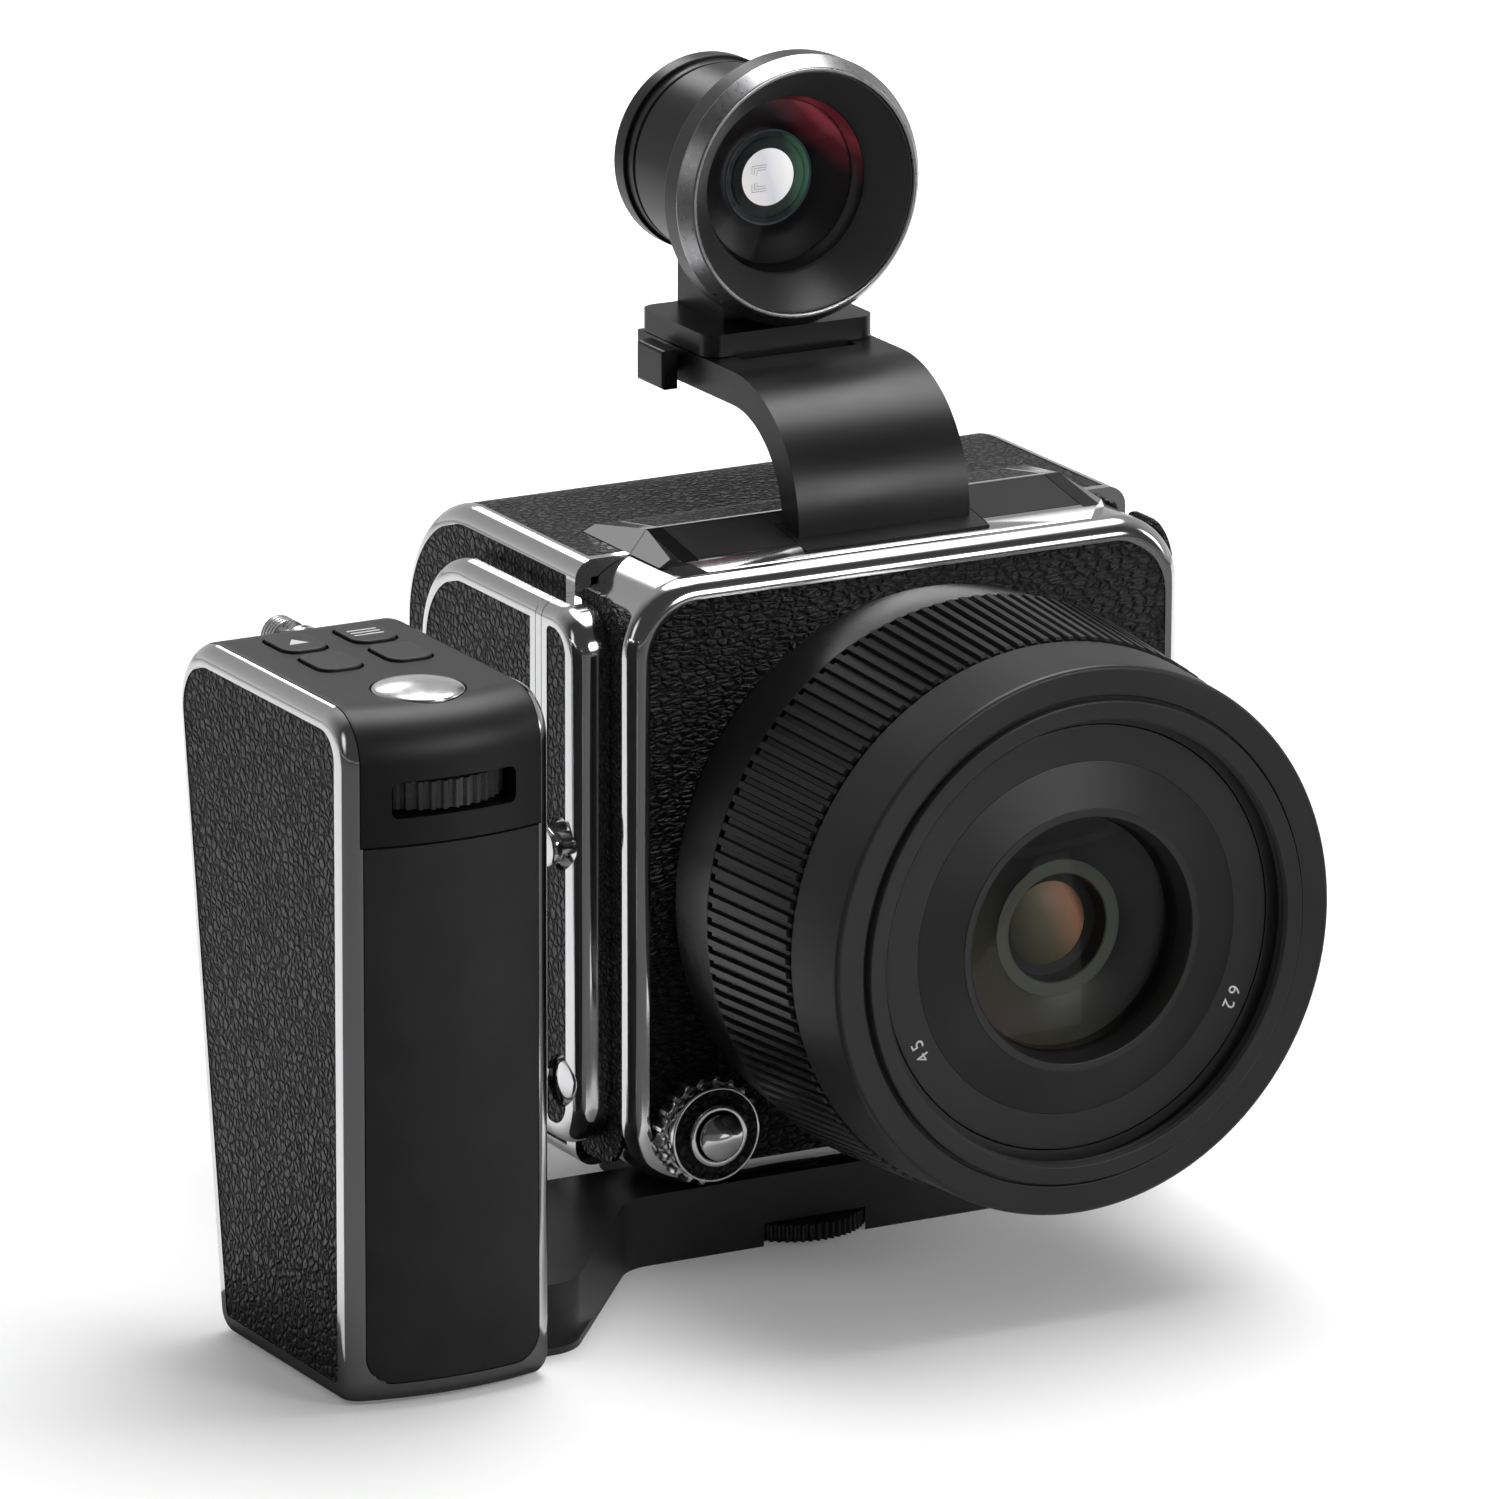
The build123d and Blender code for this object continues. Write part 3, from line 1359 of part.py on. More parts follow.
def grip_cap(envelope):
    """Satin black control cap over the top and down the front."""
    cap = envelope & cap_region(seam)
    for x, y in grip_button_places():
        room = rounded(grip_button_width + 2 * grip_button_air, grip_button_depth + 2 * grip_button_air,
                       grip_button_corner + grip_button_air, (x, y))
        cap -= along_z(room, grip_button_floor() - grip_button_travel - stroke_room, grip_top + overrun)
    cap -= disc_z(shutter_radius + button_gap, shutter_floor() - shutter_travel - stroke_room,
                  grip_top + overrun, -shutter_x, -shutter_y)
    x, y = front_wheel_axis()
    high = front_wheel_low + front_wheel_height
    cap -= disc_z(front_wheel_radius + gap, front_wheel_low - gap, high + gap, x, y)
    cap -= disc_z(wheel_pin_radius + running, front_wheel_low - wheel_pin_length - gap,
                  high + wheel_pin_length + gap, x, y)
    slot_middle = (grip_middle, front_wheel_low + front_wheel_height / 2)
    slot = rounded(slot_width, slot_height, rim_radius / 2, slot_middle)
    cap -= along_y(slot, -grip_crown - overrun, y - front_wheel_radius / 2)
    return cap - stick_space()


def stick_space():
    """Round well in the cap's rear for the joystick, with two holes for the gimbal's pins."""
    well = disc_y(stick_hole_radius, stick_floor_back, grip_rear_top + overrun, -stick_x, stick_height)
    reach = stick_hole_radius + stick_pin_length
    pins = disc_x(stick_pin_radius + running, -stick_x - reach, -stick_x + reach, stick_pivot_back, stick_height)
    return well + pins


def joystick_gimbal():
    """Ring that tilts up and down on two pins in the cap and carries the stick's pins."""
    half, y = stick_ring_width / 2, stick_pivot_back
    ring = disc_y(stick_ring_radius, y - half, y + half, -stick_x, stick_height)
    ring -= disc_y(stick_ring_bore, y - 2 * half, y + 2 * half, -stick_x, stick_height)
    ring -= disc_z(stick_pin_radius + running, stick_height - stick_ring_radius,
                   stick_height + stick_ring_radius, -stick_x, y)
    inner = stick_ring_radius - stick_pin_radius
    outer = stick_hole_radius + stick_pin_length - stroke_room
    for side in (-1, 1):
        x = sorted((-stick_x + side * inner, -stick_x + side * outer))
        ring += disc_x(stick_pin_radius, *x, stick_pivot_back, stick_height)
    return ring


def joystick_stem():
    """Stem of the thumb stick on its two pins."""
    stem = disc_y(stick_stem_radius, stick_floor_back + 2 * stick_pin_radius,
                  stick_head_front + stick_socket_depth - running, -stick_x, stick_height)
    reach = stick_ring_radius - stick_pin_radius / 2
    pins = disc_z(stick_pin_radius, stick_height - reach, stick_height + reach, -stick_x, stick_pivot_back)
    return stem + pins


def joystick():
    """Grooved, domed head that is pressed on the stem."""
    back = stick_head_front + stick_head_length
    edge = back - stick_head_dome
    outline = [(0, stick_head_front)]
    pitch = (edge - stick_head_front) / stick_grooves
    for k in range(stick_grooves):
        y = stick_head_front + k * pitch
        outline += [(stick_head_radius, y), (stick_head_radius, y + pitch / 2),
                    (stick_head_radius - stick_groove_depth, y + pitch / 2),
                    (stick_head_radius - stick_groove_depth, y + pitch)]
    outline += [(stick_head_radius, edge), (stick_head_radius / 2, back), (0, back)]
    head = Pos(-stick_x, 0, 0) * turned(outline, stick_height)
    return head - disc_y(stick_stem_radius + running, stick_head_front - overrun,
                         stick_head_front + stick_socket_depth, -stick_x, stick_height)


def grip_front_wheel():
    x, y = front_wheel_axis()
    high = front_wheel_low + front_wheel_height
    wheel = along_z(Pos(x, y) * ribbed(front_wheel_ribs, front_wheel_radius, wheel_rib_depth),
                    front_wheel_low, high)
    return wheel + disc_z(wheel_pin_radius, front_wheel_low - wheel_pin_length, high + wheel_pin_length, x, y)


def grip_button(k):
    x, y = grip_button_places()[k]
    outline = rounded(grip_button_width, grip_button_depth, grip_button_corner, (x, y))
    button = along_z(outline, grip_button_floor(), grip_top + grip_button_proud)
    return fillet(button.faces().sort_by(Axis.Z)[-1].edges(), grip_button_proud / 2)


def grip_shutter_button():
    low, high = shutter_floor(), grip_top + shutter_dome
    edge = high - shutter_dome
    arc = ThreePointArc((0, high), (shutter_radius / 2, high - shutter_dome / 4), (shutter_radius, edge))
    rim = Polyline((shutter_radius, edge), (shutter_radius, low), (0, low), (0, high))
    face = Plane.XZ * make_face(Curve() + [arc, rim])
    return Pos(-shutter_x, -shutter_y, 0) * revolve(face, Axis.Z)


def grip_screws():
    screws = []
    for x, y in tongue_screws():
        head = disc_z(screw_head_radius, gap, screw_head_height, x, y)
        shank = disc_z(screw_shank_radius - running, screw_head_height,
                       screw_head_height + screw_shank_length, x, y)
        screws.append(head + shank)
    return Compound(children=screws)


def all_parts():
    envelope = grip_envelope()
    parts = {
        "front_frame": front_frame(),
        "front_leathers": Compound(children=[front_leather()] + front_side_leathers()),
        "front_pad": front_pad(),
        "strap_lugs": strap_lugs(),
        "side_release_button": side_release_button(),
        "control_wheel": control_wheel(),
        "release_bezel": release_bezel(),
        "release_button": release_button(),
        "top_cover": top_cover(),
        "shoe_plate": shoe_plate(),
        "hump_rear": hump_rear(),
        "hump_leather": hump_leather(),
        "back_housing": back_housing(),
        "back_leathers": Compound(children=[back_top_leather()] + back_side_leathers()),
        "back_pad": back_pad(),
        "pad_leathers": Compound(children=[front_pad_leather(), back_pad_leather()]),
        "sensor_unit": sensor_unit(),
        "circuit_boards": circuit_boards(),
        "battery": battery(),
        "battery_door": battery_door(),
        "rear_panel": rear_panel(),
        "screen_frame": screen_frame(),
        "screen_glass": screen_glass(),
        "body_mount_ring": body_mount_ring(),
        "lens_mount": lens_mount(),
        "lens_rear_barrel": lens_rear_barrel(),
        "focus_ring": focus_ring(),
        "lens_front_barrel": lens_front_barrel(),
        "name_ring": name_ring(),
        "front_element": front_element(),
        "inner_elements": inner_elements(),
        "aperture_diaphragm": aperture_diaphragm(),
        "bracket": bracket(),
        "finder_foot": finder_foot(),
        "finder_barrel": finder_barrel(),
        "finder_front_ring": finder_front_ring(),
        "finder_bezel": finder_bezel(),
        "finder_lenses": finder_lenses(),
        "finder_eyepiece": finder_eyepiece(),
        "finder_lock_button": finder_lock_button(),
        "base_plate": base_plate(),
        "thumb_wheel": thumb_wheel(),
        "grip_frame": grip_frame(envelope),
        "grip_front_pad": grip_front_pad(envelope),
        "grip_leathers": grip_leathers(envelope),
        "grip_cap": grip_cap(envelope),
        "grip_shutter_button": grip_shutter_button(),
        "grip_front_wheel": grip_front_wheel(),
        "joystick_gimbal": joystick_gimbal(),
        "joystick_stem": joystick_stem(),
        "joystick": joystick(),
        "grip_screws": grip_screws(),
    }
    for k in range(rear_buttons):
        parts[f"rear_button_{k + 1}"] = rear_button(k)
    for k in range(len(grip_button_places())):
        parts[f"grip_button_{k + 1}"] = grip_button(k)
    return parts


def write_parts():
    os.makedirs("parts", exist_ok=True)
    for name, shape in all_parts().items():
        export_step(Pos(0, -socket_back, 0) * shape, f"parts/{name}.step")


write_parts()
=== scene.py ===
import math

import bmesh
import bpy
from mathutils import Matrix, Vector


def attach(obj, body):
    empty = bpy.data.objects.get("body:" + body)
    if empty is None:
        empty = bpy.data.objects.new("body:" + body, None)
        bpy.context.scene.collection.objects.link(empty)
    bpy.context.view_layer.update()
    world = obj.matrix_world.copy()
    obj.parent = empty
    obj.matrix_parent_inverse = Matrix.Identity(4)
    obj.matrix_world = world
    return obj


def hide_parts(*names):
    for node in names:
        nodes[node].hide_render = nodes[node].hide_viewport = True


# The looks of a box-shaped medium format camera with its grip and finder.
# Named sizes are in millimetres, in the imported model's frame, and MM turns them into metres.
# The origin is at the tripod socket, the lens looks along -Y, and Z is up.

MM = 0.001
FRONT = -30.0            # the body's front face
AXIS = 53.65             # height of the lens's axis
FINDER_AXIS = 141.15     # height of the finder's axis

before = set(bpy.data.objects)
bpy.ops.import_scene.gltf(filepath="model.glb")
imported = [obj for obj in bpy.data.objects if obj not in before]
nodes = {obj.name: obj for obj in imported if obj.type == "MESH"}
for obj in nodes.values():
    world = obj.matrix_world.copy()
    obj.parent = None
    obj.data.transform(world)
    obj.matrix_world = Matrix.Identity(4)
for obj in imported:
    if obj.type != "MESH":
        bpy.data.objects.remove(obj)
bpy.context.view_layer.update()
scene = bpy.context.scene

# Camera, as solved from the photograph; angles in degrees

PHOTO_AZIMUTH = -28.87494
PHOTO_ELEVATION = 15.89798
PHOTO_ROLL = -0.1563079
PHOTO_EYE = (-855.02, -1534.71, 561.40)
PHOTO_LENS = 313.06
SENSOR = 36.0
CLIP_NEAR = 0.05         # metres
CLIP_FAR = 20.0          # metres


def make_camera():
    az, el, roll = (math.radians(a) for a in (PHOTO_AZIMUTH, PHOTO_ELEVATION, PHOTO_ROLL))
    back = Vector((math.sin(az) * math.cos(el), -math.cos(az) * math.cos(el), math.sin(el)))
    forward = -back
    right = forward.cross(Vector((0, 0, 1))).normalized()
    down = forward.cross(right)
    row_x = right * math.cos(roll) + down * math.sin(roll)
    row_y = down * math.cos(roll) - right * math.sin(roll)
    data = bpy.data.cameras.new("photo_camera")
    data.lens = PHOTO_LENS
    data.sensor_width = SENSOR
    data.clip_start = CLIP_NEAR
    data.clip_end = CLIP_FAR
    camera = bpy.data.objects.new("photo_camera", data)
    turn = Matrix((row_x, -row_y, back)).transposed().to_4x4()
    camera.matrix_world = Matrix.Translation(Vector(PHOTO_EYE) * MM) @ turn
    scene.collection.objects.link(camera)
    scene.camera = camera


make_camera()
scene.view_settings.view_transform = "Standard"


# Node helpers

NOISE = (0.3, 0.7)       # where nearly all values of a noise lie
TWO_NOISES = (0.7, 1.3)  # the same for a sum of two


class Nodes:
    """Short ways to add nodes to a tree and to join them."""

    def __init__(self, tree):
        self.tree = tree

    def node(self, kind, **values):
        """A new node; each value goes to its input of that name, or else to its setting of that name."""
        made = self.tree.nodes.new(kind)
        for key, value in values.items():
            if key in made.inputs:
                made.inputs[key].default_value = value
            else:
                setattr(made, key, value)
        return made

    def link(self, source, target):
        self.tree.links.new(source, target)

    def feed(self, target, value):
        """Joins another node's output to an input, or sets the input to a plain value."""
        if isinstance(value, bpy.types.NodeSocket):
            self.link(value, target)
        else:
            target.default_value = value

    def math(self, operation, first, second):
        made = self.node("ShaderNodeMath", operation=operation)
        for socket, value in zip(made.inputs, (first, second)):
            self.feed(socket, value)
        return made.outputs["Value"]

    def vector(self, operation, first, second, result="Vector"):
        made = self.node("ShaderNodeVectorMath", operation=operation)
        self.feed(made.inputs[0], first)
        self.feed(made.inputs[1], second)
        return made.outputs[result]

    def ramp(self, value, stops):
        """A colour ramp over a value; its stops are (place, (red, green, blue))."""
        made = self.node("ShaderNodeValToRGB")
        while len(made.color_ramp.elements) < len(stops):
            made.color_ramp.elements.new(0.5)
        for element, (place, colour) in zip(made.color_ramp.elements, stops):
            element.position = place
            element.color = (*colour, 1)
        self.link(value, made.inputs["Fac"])
        return made.outputs["Color"]

    def span(self, value, low, high, start=0.0, end=1.0, blend="LINEAR"):
        """Maps start..end to low..high."""
        made = self.node("ShaderNodeMapRange", interpolation_type=blend)
        for key, number in (("From Min", start), ("From Max", end), ("To Min", low), ("To Max", high)):
            made.inputs[key].default_value = number
        self.link(value, made.inputs["Value"])
        return made.outputs["Result"]

    def mix_colours(self, factor, first, second):
        made = self.node("ShaderNodeMix", data_type="RGBA")
        for key, value in (("Factor", factor), ("A", first), ("B", second)):
            self.feed(made.inputs[key], value)
        return made.outputs["Result"]

    def mix_shaders(self, factor, first, second):
        made = self.node("ShaderNodeMixShader")
        for socket, source in zip(made.inputs, (factor, first, second)):
            self.link(source, socket)
        return made.outputs["Shader"]

    def seen_by_eye(self):
        """1 for rays that end in the picture or pass through glass, else 0."""
        path = self.node("ShaderNodeLightPath").outputs
        return self.math("MAXIMUM", path["Is Camera Ray"], path["Is Transmission Ray"])


class Shader(Nodes):
    """A material and its nodes."""

    def __init__(self, name):
        self.material = bpy.data.materials.new(name)
        self.material.use_nodes = True
        super().__init__(self.material.node_tree)
        self.bsdf = self.tree.nodes["Principled BSDF"]
        self.coordinates = self.node("ShaderNodeTexCoord").outputs["Object"]

    def set(self, **values):
        for key, value in values.items():
            self.bsdf.inputs[key.replace("_", " ")].default_value = value
        return self

    def use(self, socket, value):
        self.link(value, self.bsdf.inputs[socket])
        return self

    def noise(self, per_mm, detail=2.0, roughness=0.5):
        made = self.node("ShaderNodeTexNoise", Scale=per_mm / MM, Detail=detail, Roughness=roughness)
        self.link(self.coordinates, made.inputs["Vector"])
        return made.outputs["Fac"]

    def bump(self, height, depth_mm, strength=1.0):
        made = self.node("ShaderNodeBump", Strength=strength, Distance=depth_mm * MM)
        self.link(height, made.inputs["Height"])
        return made.outputs["Normal"]

    def mottle(self, noise, first, second):
        """Lets the colour wander between two colours."""
        return self.use("Base Color", self.ramp(noise, tuple(zip(NOISE, (first, second)))))


def grey(value):
    return (value, value, value, 1.0)


def shade(colour, share):
    return tuple(c * share for c in colour)


# Materials: noises and grains are per millimetre

BLUER = 0.01             # what bare metal's blue is above its red and green


def bare_metal(name, tone):
    return Shader(name).set(Metallic=1.0, Base_Color=(tone, tone, tone + BLUER, 1.0))


def chrome():
    """Mirror-polished plating with faint wipe marks."""
    s = bare_metal("polished_chrome", tone=0.74)
    wipe = s.noise(0.06, detail=4.0, roughness=0.6)
    fine = s.noise(1.4, detail=3.0, roughness=0.6)
    marks = s.math("ADD", wipe, s.math("MULTIPLY", fine, 0.35))
    s.use("Roughness", s.span(marks, low=0.07, high=0.14, start=0.35, end=0.95))
    s.use("Normal", s.bump(s.noise(0.25), depth_mm=0.004, strength=0.35))
    return s.material


def satin_steel():
    s = bare_metal("satin_steel", tone=0.66)
    s.use("Roughness", s.span(s.noise(2.5, detail=4.0, roughness=0.6), 0.20, 0.34, *NOISE))
    s.use("Normal", s.bump(s.noise(6.0), depth_mm=0.006, strength=0.5))
    return s.material


def turned_steel(name, tone, rough, grain, detail):
    """Finely turned or ground steel; rough is the span of its roughness."""
    s = bare_metal(name, tone)
    s.use("Roughness", s.span(s.noise(grain, detail), *rough, *NOISE))
    return s.material


HIDE_WARP = 0.7          # noise that bends the cells
HIDE_SWELL = 0.35        # noise of the broad waves
HIDE_FINE = 3.0          # noise of the sheen
HIDE_VALLEY = 0.26       # share of a cell from its edge to its flat crown
HIDE_PORES = 2.6         # pores beside one cell
CROWN_WEIGHT = 0.8
PORE_WEIGHT = -0.18
SWELL_WEIGHT = 0.45


def leather(name, cell, depth, tone, stretch=(1.0, 1.0, 1.0), warp_mm=0.8):
    """Pebbled hide: warped cells with soft valleys darkened by painted shade, fine pores and a waxy sheen on
    the crowns.
    """
    s = Shader(name).set(Metallic=0.0, IOR=1.40)
    pulled = s.vector("MULTIPLY", s.coordinates, stretch)
    warp = s.node("ShaderNodeTexNoise", Scale=HIDE_WARP / MM, Detail=3.0)
    s.link(pulled, warp.inputs["Vector"])
    shift = s.node("ShaderNodeVectorMath", operation="SCALE", Scale=warp_mm * MM)
    s.link(warp.outputs["Color"], shift.inputs["Vector"])
    moved = s.vector("ADD", pulled, shift.outputs["Vector"])
    cells = s.node("ShaderNodeTexVoronoi", feature="DISTANCE_TO_EDGE", Scale=1 / (cell * MM))
    pores = s.node("ShaderNodeTexVoronoi", feature="F1", Scale=HIDE_PORES / (cell * MM))
    for pattern in (cells, pores):
        s.link(moved, pattern.inputs["Vector"])
    crown = s.span(cells.outputs["Distance"], 0.0, 1.0, 0.0, HIDE_VALLEY)
    grain = s.math("ADD", s.math("MULTIPLY", crown, CROWN_WEIGHT),
                   s.math("MULTIPLY", pores.outputs["Distance"], PORE_WEIGHT))
    height = s.math("ADD", grain, s.math("MULTIPLY", s.noise(HIDE_SWELL), SWELL_WEIGHT))
    s.use("Normal", s.bump(height, depth))
    # The colour darkens from the crowns down into the valleys, to a quarter of the tone: painted shade in the
    # grain's valleys.
    s.use("Base Color", s.ramp(crown, ((0.0, (tone * 0.25,) * 3), (0.75, (tone, tone, tone * 1.05)))))
    sheen = s.math("ADD", crown, s.noise(HIDE_FINE))
    s.use("Roughness", s.span(sheen, low=0.62, high=0.33, start=0.4, end=1.4))
    return s.material


def satin_black(name, tone, rough, grain, depth):
    """Bead-blasted, blackened metal or plastic: fine even grain under a soft sheen."""
    s = Shader(name).set(Metallic=0.0, IOR=1.44)
    fine = s.noise(grain, detail=3.0, roughness=0.7)
    broad = s.noise(0.05, detail=3.0)
    s.use("Roughness", s.span(s.math("ADD", fine, broad), rough - 0.05, rough + 0.06, *TWO_NOISES))
    s.mottle(broad, (tone * 0.85,) * 3, (tone * 1.15,) * 3)
    s.use("Normal", s.bump(fine, depth, strength=0.6))
    return s.material


def glossy_black(name, tone, rough):
    s = Shader(name).set(Metallic=0.0, IOR=1.5)
    s.use("Roughness", s.span(s.noise(0.2, detail=3.0), rough, rough + 0.06, *NOISE))
    s.mottle(s.noise(0.1), (tone * 0.8,) * 3, (tone * 1.2,) * 3)
    return s.material


def rubber():
    s = Shader("fine_rubber").set(Metallic=0.0, IOR=1.48)
    fine = s.noise(5.0, detail=4.0, roughness=0.7)
    s.use("Roughness", s.span(fine, 0.44, 0.58, *NOISE))
    s.mottle(s.noise(0.15, detail=3.0), (0.009,) * 3, (0.013,) * 3)
    s.use("Normal", s.bump(fine, depth_mm=0.03, strength=0.5))
    return s.material


def board():
    s = Shader("circuit_board").set(Metallic=0.0, Roughness=0.35)
    stops = ((0.45, (0.01, 0.07, 0.03)), (0.55, (0.02, 0.12, 0.06)))
    s.use("Base Color", s.ramp(s.noise(0.9, detail=3.0), stops))
    return s.material


def glass(name, surface_colour, alpha=1.0):
    """Coated glass: a mirror-smooth face, faintly tinted, that lets the inside show when alpha is low."""
    s = Shader(name).set(Metallic=0.0, Roughness=0.012, IOR=1.5, Alpha=alpha)
    s.mottle(s.noise(0.08, detail=1.0), surface_colour, shade(surface_colour, 1.2))
    return s.material


REFLECTION_WANDER = 0.03       # how far the painted reflection's place wanders, as a share of the piece


def painted_reflection_glass(name, middle, towards, reach, rough, stops, glow=0.0):
    """Coated inner glass with a painted reflection: its colour runs across the piece from one side (0) to the
    other (1), as light falling on the coatings would colour it; with glow it also shines with painted light.
    """
    s = Shader(name).set(Metallic=0.0, Roughness=rough, IOR=1.5)
    apart = s.vector("SUBTRACT", s.coordinates, tuple(v * MM for v in middle))
    along = s.vector("DOT_PRODUCT", apart, Vector(towards).normalized(), "Value")
    place = s.span(along, 0.0, 1.0, -reach * MM, reach * MM)
    place = s.math("ADD", place, s.span(s.noise(0.2), -REFLECTION_WANDER, REFLECTION_WANDER))
    # The ramp's colours are painted reflection of the coatings: bright on one side of the piece and dark on
    # the other.
    surface_colour = s.ramp(place, stops)
    s.use("Base Color", surface_colour)
    # Glow is painted light: the piece shines though no lamp lights it.
    if glow > 0:
        s.use("Emission Color", surface_colour).set(Emission_Strength=glow)
    return s.material


def paint(name, colour, rough=0.5):
    """Thin printed paint with a little unevenness."""
    s = Shader(name).set(Metallic=0.0, Roughness=rough)
    s.mottle(s.noise(2.0, detail=3.0), shade(colour, 0.88), colour)
    return s.material


CHROME = chrome()
STEEL = satin_steel()
CAP_STEEL = turned_steel("turned_steel", tone=0.78, rough=(0.20, 0.26), grain=0.8, detail=2.0)
RIM_STEEL = turned_steel("ground_steel", tone=0.46, rough=(0.26, 0.34), grain=1.5, detail=3.0)
LEATHER = leather("grained_leather", cell=1.3, depth=0.5, tone=0.007)
FRONT_LEATHER = leather(
    "creased_leather", cell=1.35, depth=1.3, tone=0.011, stretch=(0.7, 1.0, 1.55), warp_mm=1.2)
BLACK = satin_black("satin_black_metal", tone=0.007, rough=0.32, grain=7.0, depth=0.012)
LENS_BLACK = satin_black("anodised_black", tone=0.006, rough=0.30, grain=9.0, depth=0.010)
RING_BLACK = satin_black("front_ring_black", tone=0.017, rough=0.42, grain=11.0, depth=0.010)
PLATE_BLACK = satin_black("plate_black", tone=0.016, rough=0.40, grain=6.0, depth=0.012)
WHEEL_BLACK = satin_black("wheel_black", tone=0.035, rough=0.28, grain=9.0, depth=0.008)
CAP_BLACK = satin_black("cap_black", tone=0.005, rough=0.44, grain=7.0, depth=0.010)
CONE_BLACK = satin_black("fine_matt_black", tone=0.016, rough=0.36, grain=12.0, depth=0.014)
FINDER_CONE = satin_black("finder_cone_black", tone=0.032, rough=0.36, grain=9.0, depth=0.010)
PLASTIC = satin_black("matt_plastic", tone=0.012, rough=0.48, grain=4.0, depth=0.02)
BUTTON = satin_black("button_plastic", tone=0.014, rough=0.42, grain=6.0, depth=0.01)
DULL = satin_black("dull_black", tone=0.003, rough=0.6, grain=3.0, depth=0.01)
GLOSS = glossy_black("gloss_black", tone=0.006, rough=0.09)
RUBBER = rubber()
BOARD = board()
PRINT = paint("white_print", (0.62, 0.62, 0.62))
FRAME_LINE = paint("frame_line", (0.32, 0.30, 0.30))
FINDER_EDGE = paint("finder_ring_edge", (0.10, 0.14, 0.17), rough=0.3)
LENS_GLASS = glass("front_glass", (0.002, 0.002, 0.002), alpha=0.25)
INNER_GLASS = glass("inner_glass", (0.010, 0.008, 0.005))
FINDER_GLASS = glass("finder_glass", (0.003, 0.002, 0.002), alpha=0.22)
EYE_GLASS = glass("eyepiece_glass", (0.01, 0.01, 0.012))
SCREEN_GLASS = glass("screen_glass", (0.006, 0.006, 0.007))

LENS_MIDDLE = (0, FRONT, AXIS)
# Painted reflections: the lens's deep glass, inner ring and eye grow brighter towards one side, with an
# orange glint on the eye, as light on their coatings would colour them.
LENS_DEEP = painted_reflection_glass(
    "lens_deep_glass", LENS_MIDDLE, towards=(-0.75, 0, -0.66), reach=16.0, rough=0.4, stops=(
        (0.0, (0.002, 0.002, 0.002)),
        (0.55, (0.004, 0.004, 0.003)),
        (0.80, (0.030, 0.030, 0.012)),
        (1.0, (0.060, 0.036, 0.026))))
LENS_RING = painted_reflection_glass(
    "lens_ring_glass", LENS_MIDDLE, towards=(0.2, 0, -1), reach=9.6, rough=0.5, stops=(
        (0.0, (0.060, 0.066, 0.048)),
        (1.0, (0.085, 0.092, 0.070))))
LENS_EYE = painted_reflection_glass(
    "lens_eye_glass", LENS_MIDDLE, towards=(0.9, 0, 0.44), reach=6.0, rough=0.5, stops=(
        (0.0, (0.020, 0.024, 0.008)),
        (0.45, (0.100, 0.085, 0.030)),
        (0.85, (0.42, 0.20, 0.11)),
        (1.0, (0.10, 0.05, 0.03))))

FINDER_MIDDLE = (0, 0, FINDER_AXIS)
# Painted reflections: the finder's deep glass has a magenta crescent on one side, and its inner ring turns
# green towards one side, as light on their coatings would colour them.
FINDER_DEEP = painted_reflection_glass(
    "finder_deep_glass", FINDER_MIDDLE, towards=(0.66, 0, 0.75), reach=12.0, rough=0.3, stops=(
        (0.0, (0.002, 0.002, 0.002)),
        (0.78, (0.006, 0.003, 0.004)),
        (0.90, (0.16, 0.012, 0.026)),
        (0.97, (0.60, 0.085, 0.12)),
        (1.0, (0.36, 0.03, 0.06))))
FINDER_RING = painted_reflection_glass(
    "finder_ring_glass", FINDER_MIDDLE, towards=(1, 0, 0.1), reach=6.8, rough=0.2, stops=(
        (0.0, (0.010, 0.012, 0.014)),
        (0.7, (0.020, 0.040, 0.034)),
        (1.0, (0.10, 0.30, 0.17))))
# Painted light: the pupil is near white and glows, standing in for the light that comes through the eyepiece
# from behind.
FINDER_PUPIL = painted_reflection_glass(
    "finder_pupil", FINDER_MIDDLE, towards=(1, 0, 0.3), reach=4.2, rough=0.3, glow=0.85, stops=(
        (0.0, (0.75, 0.72, 0.70)),
        (0.5, (0.62, 0.62, 0.66)),
        (1.0, (0.95, 0.95, 0.95))))

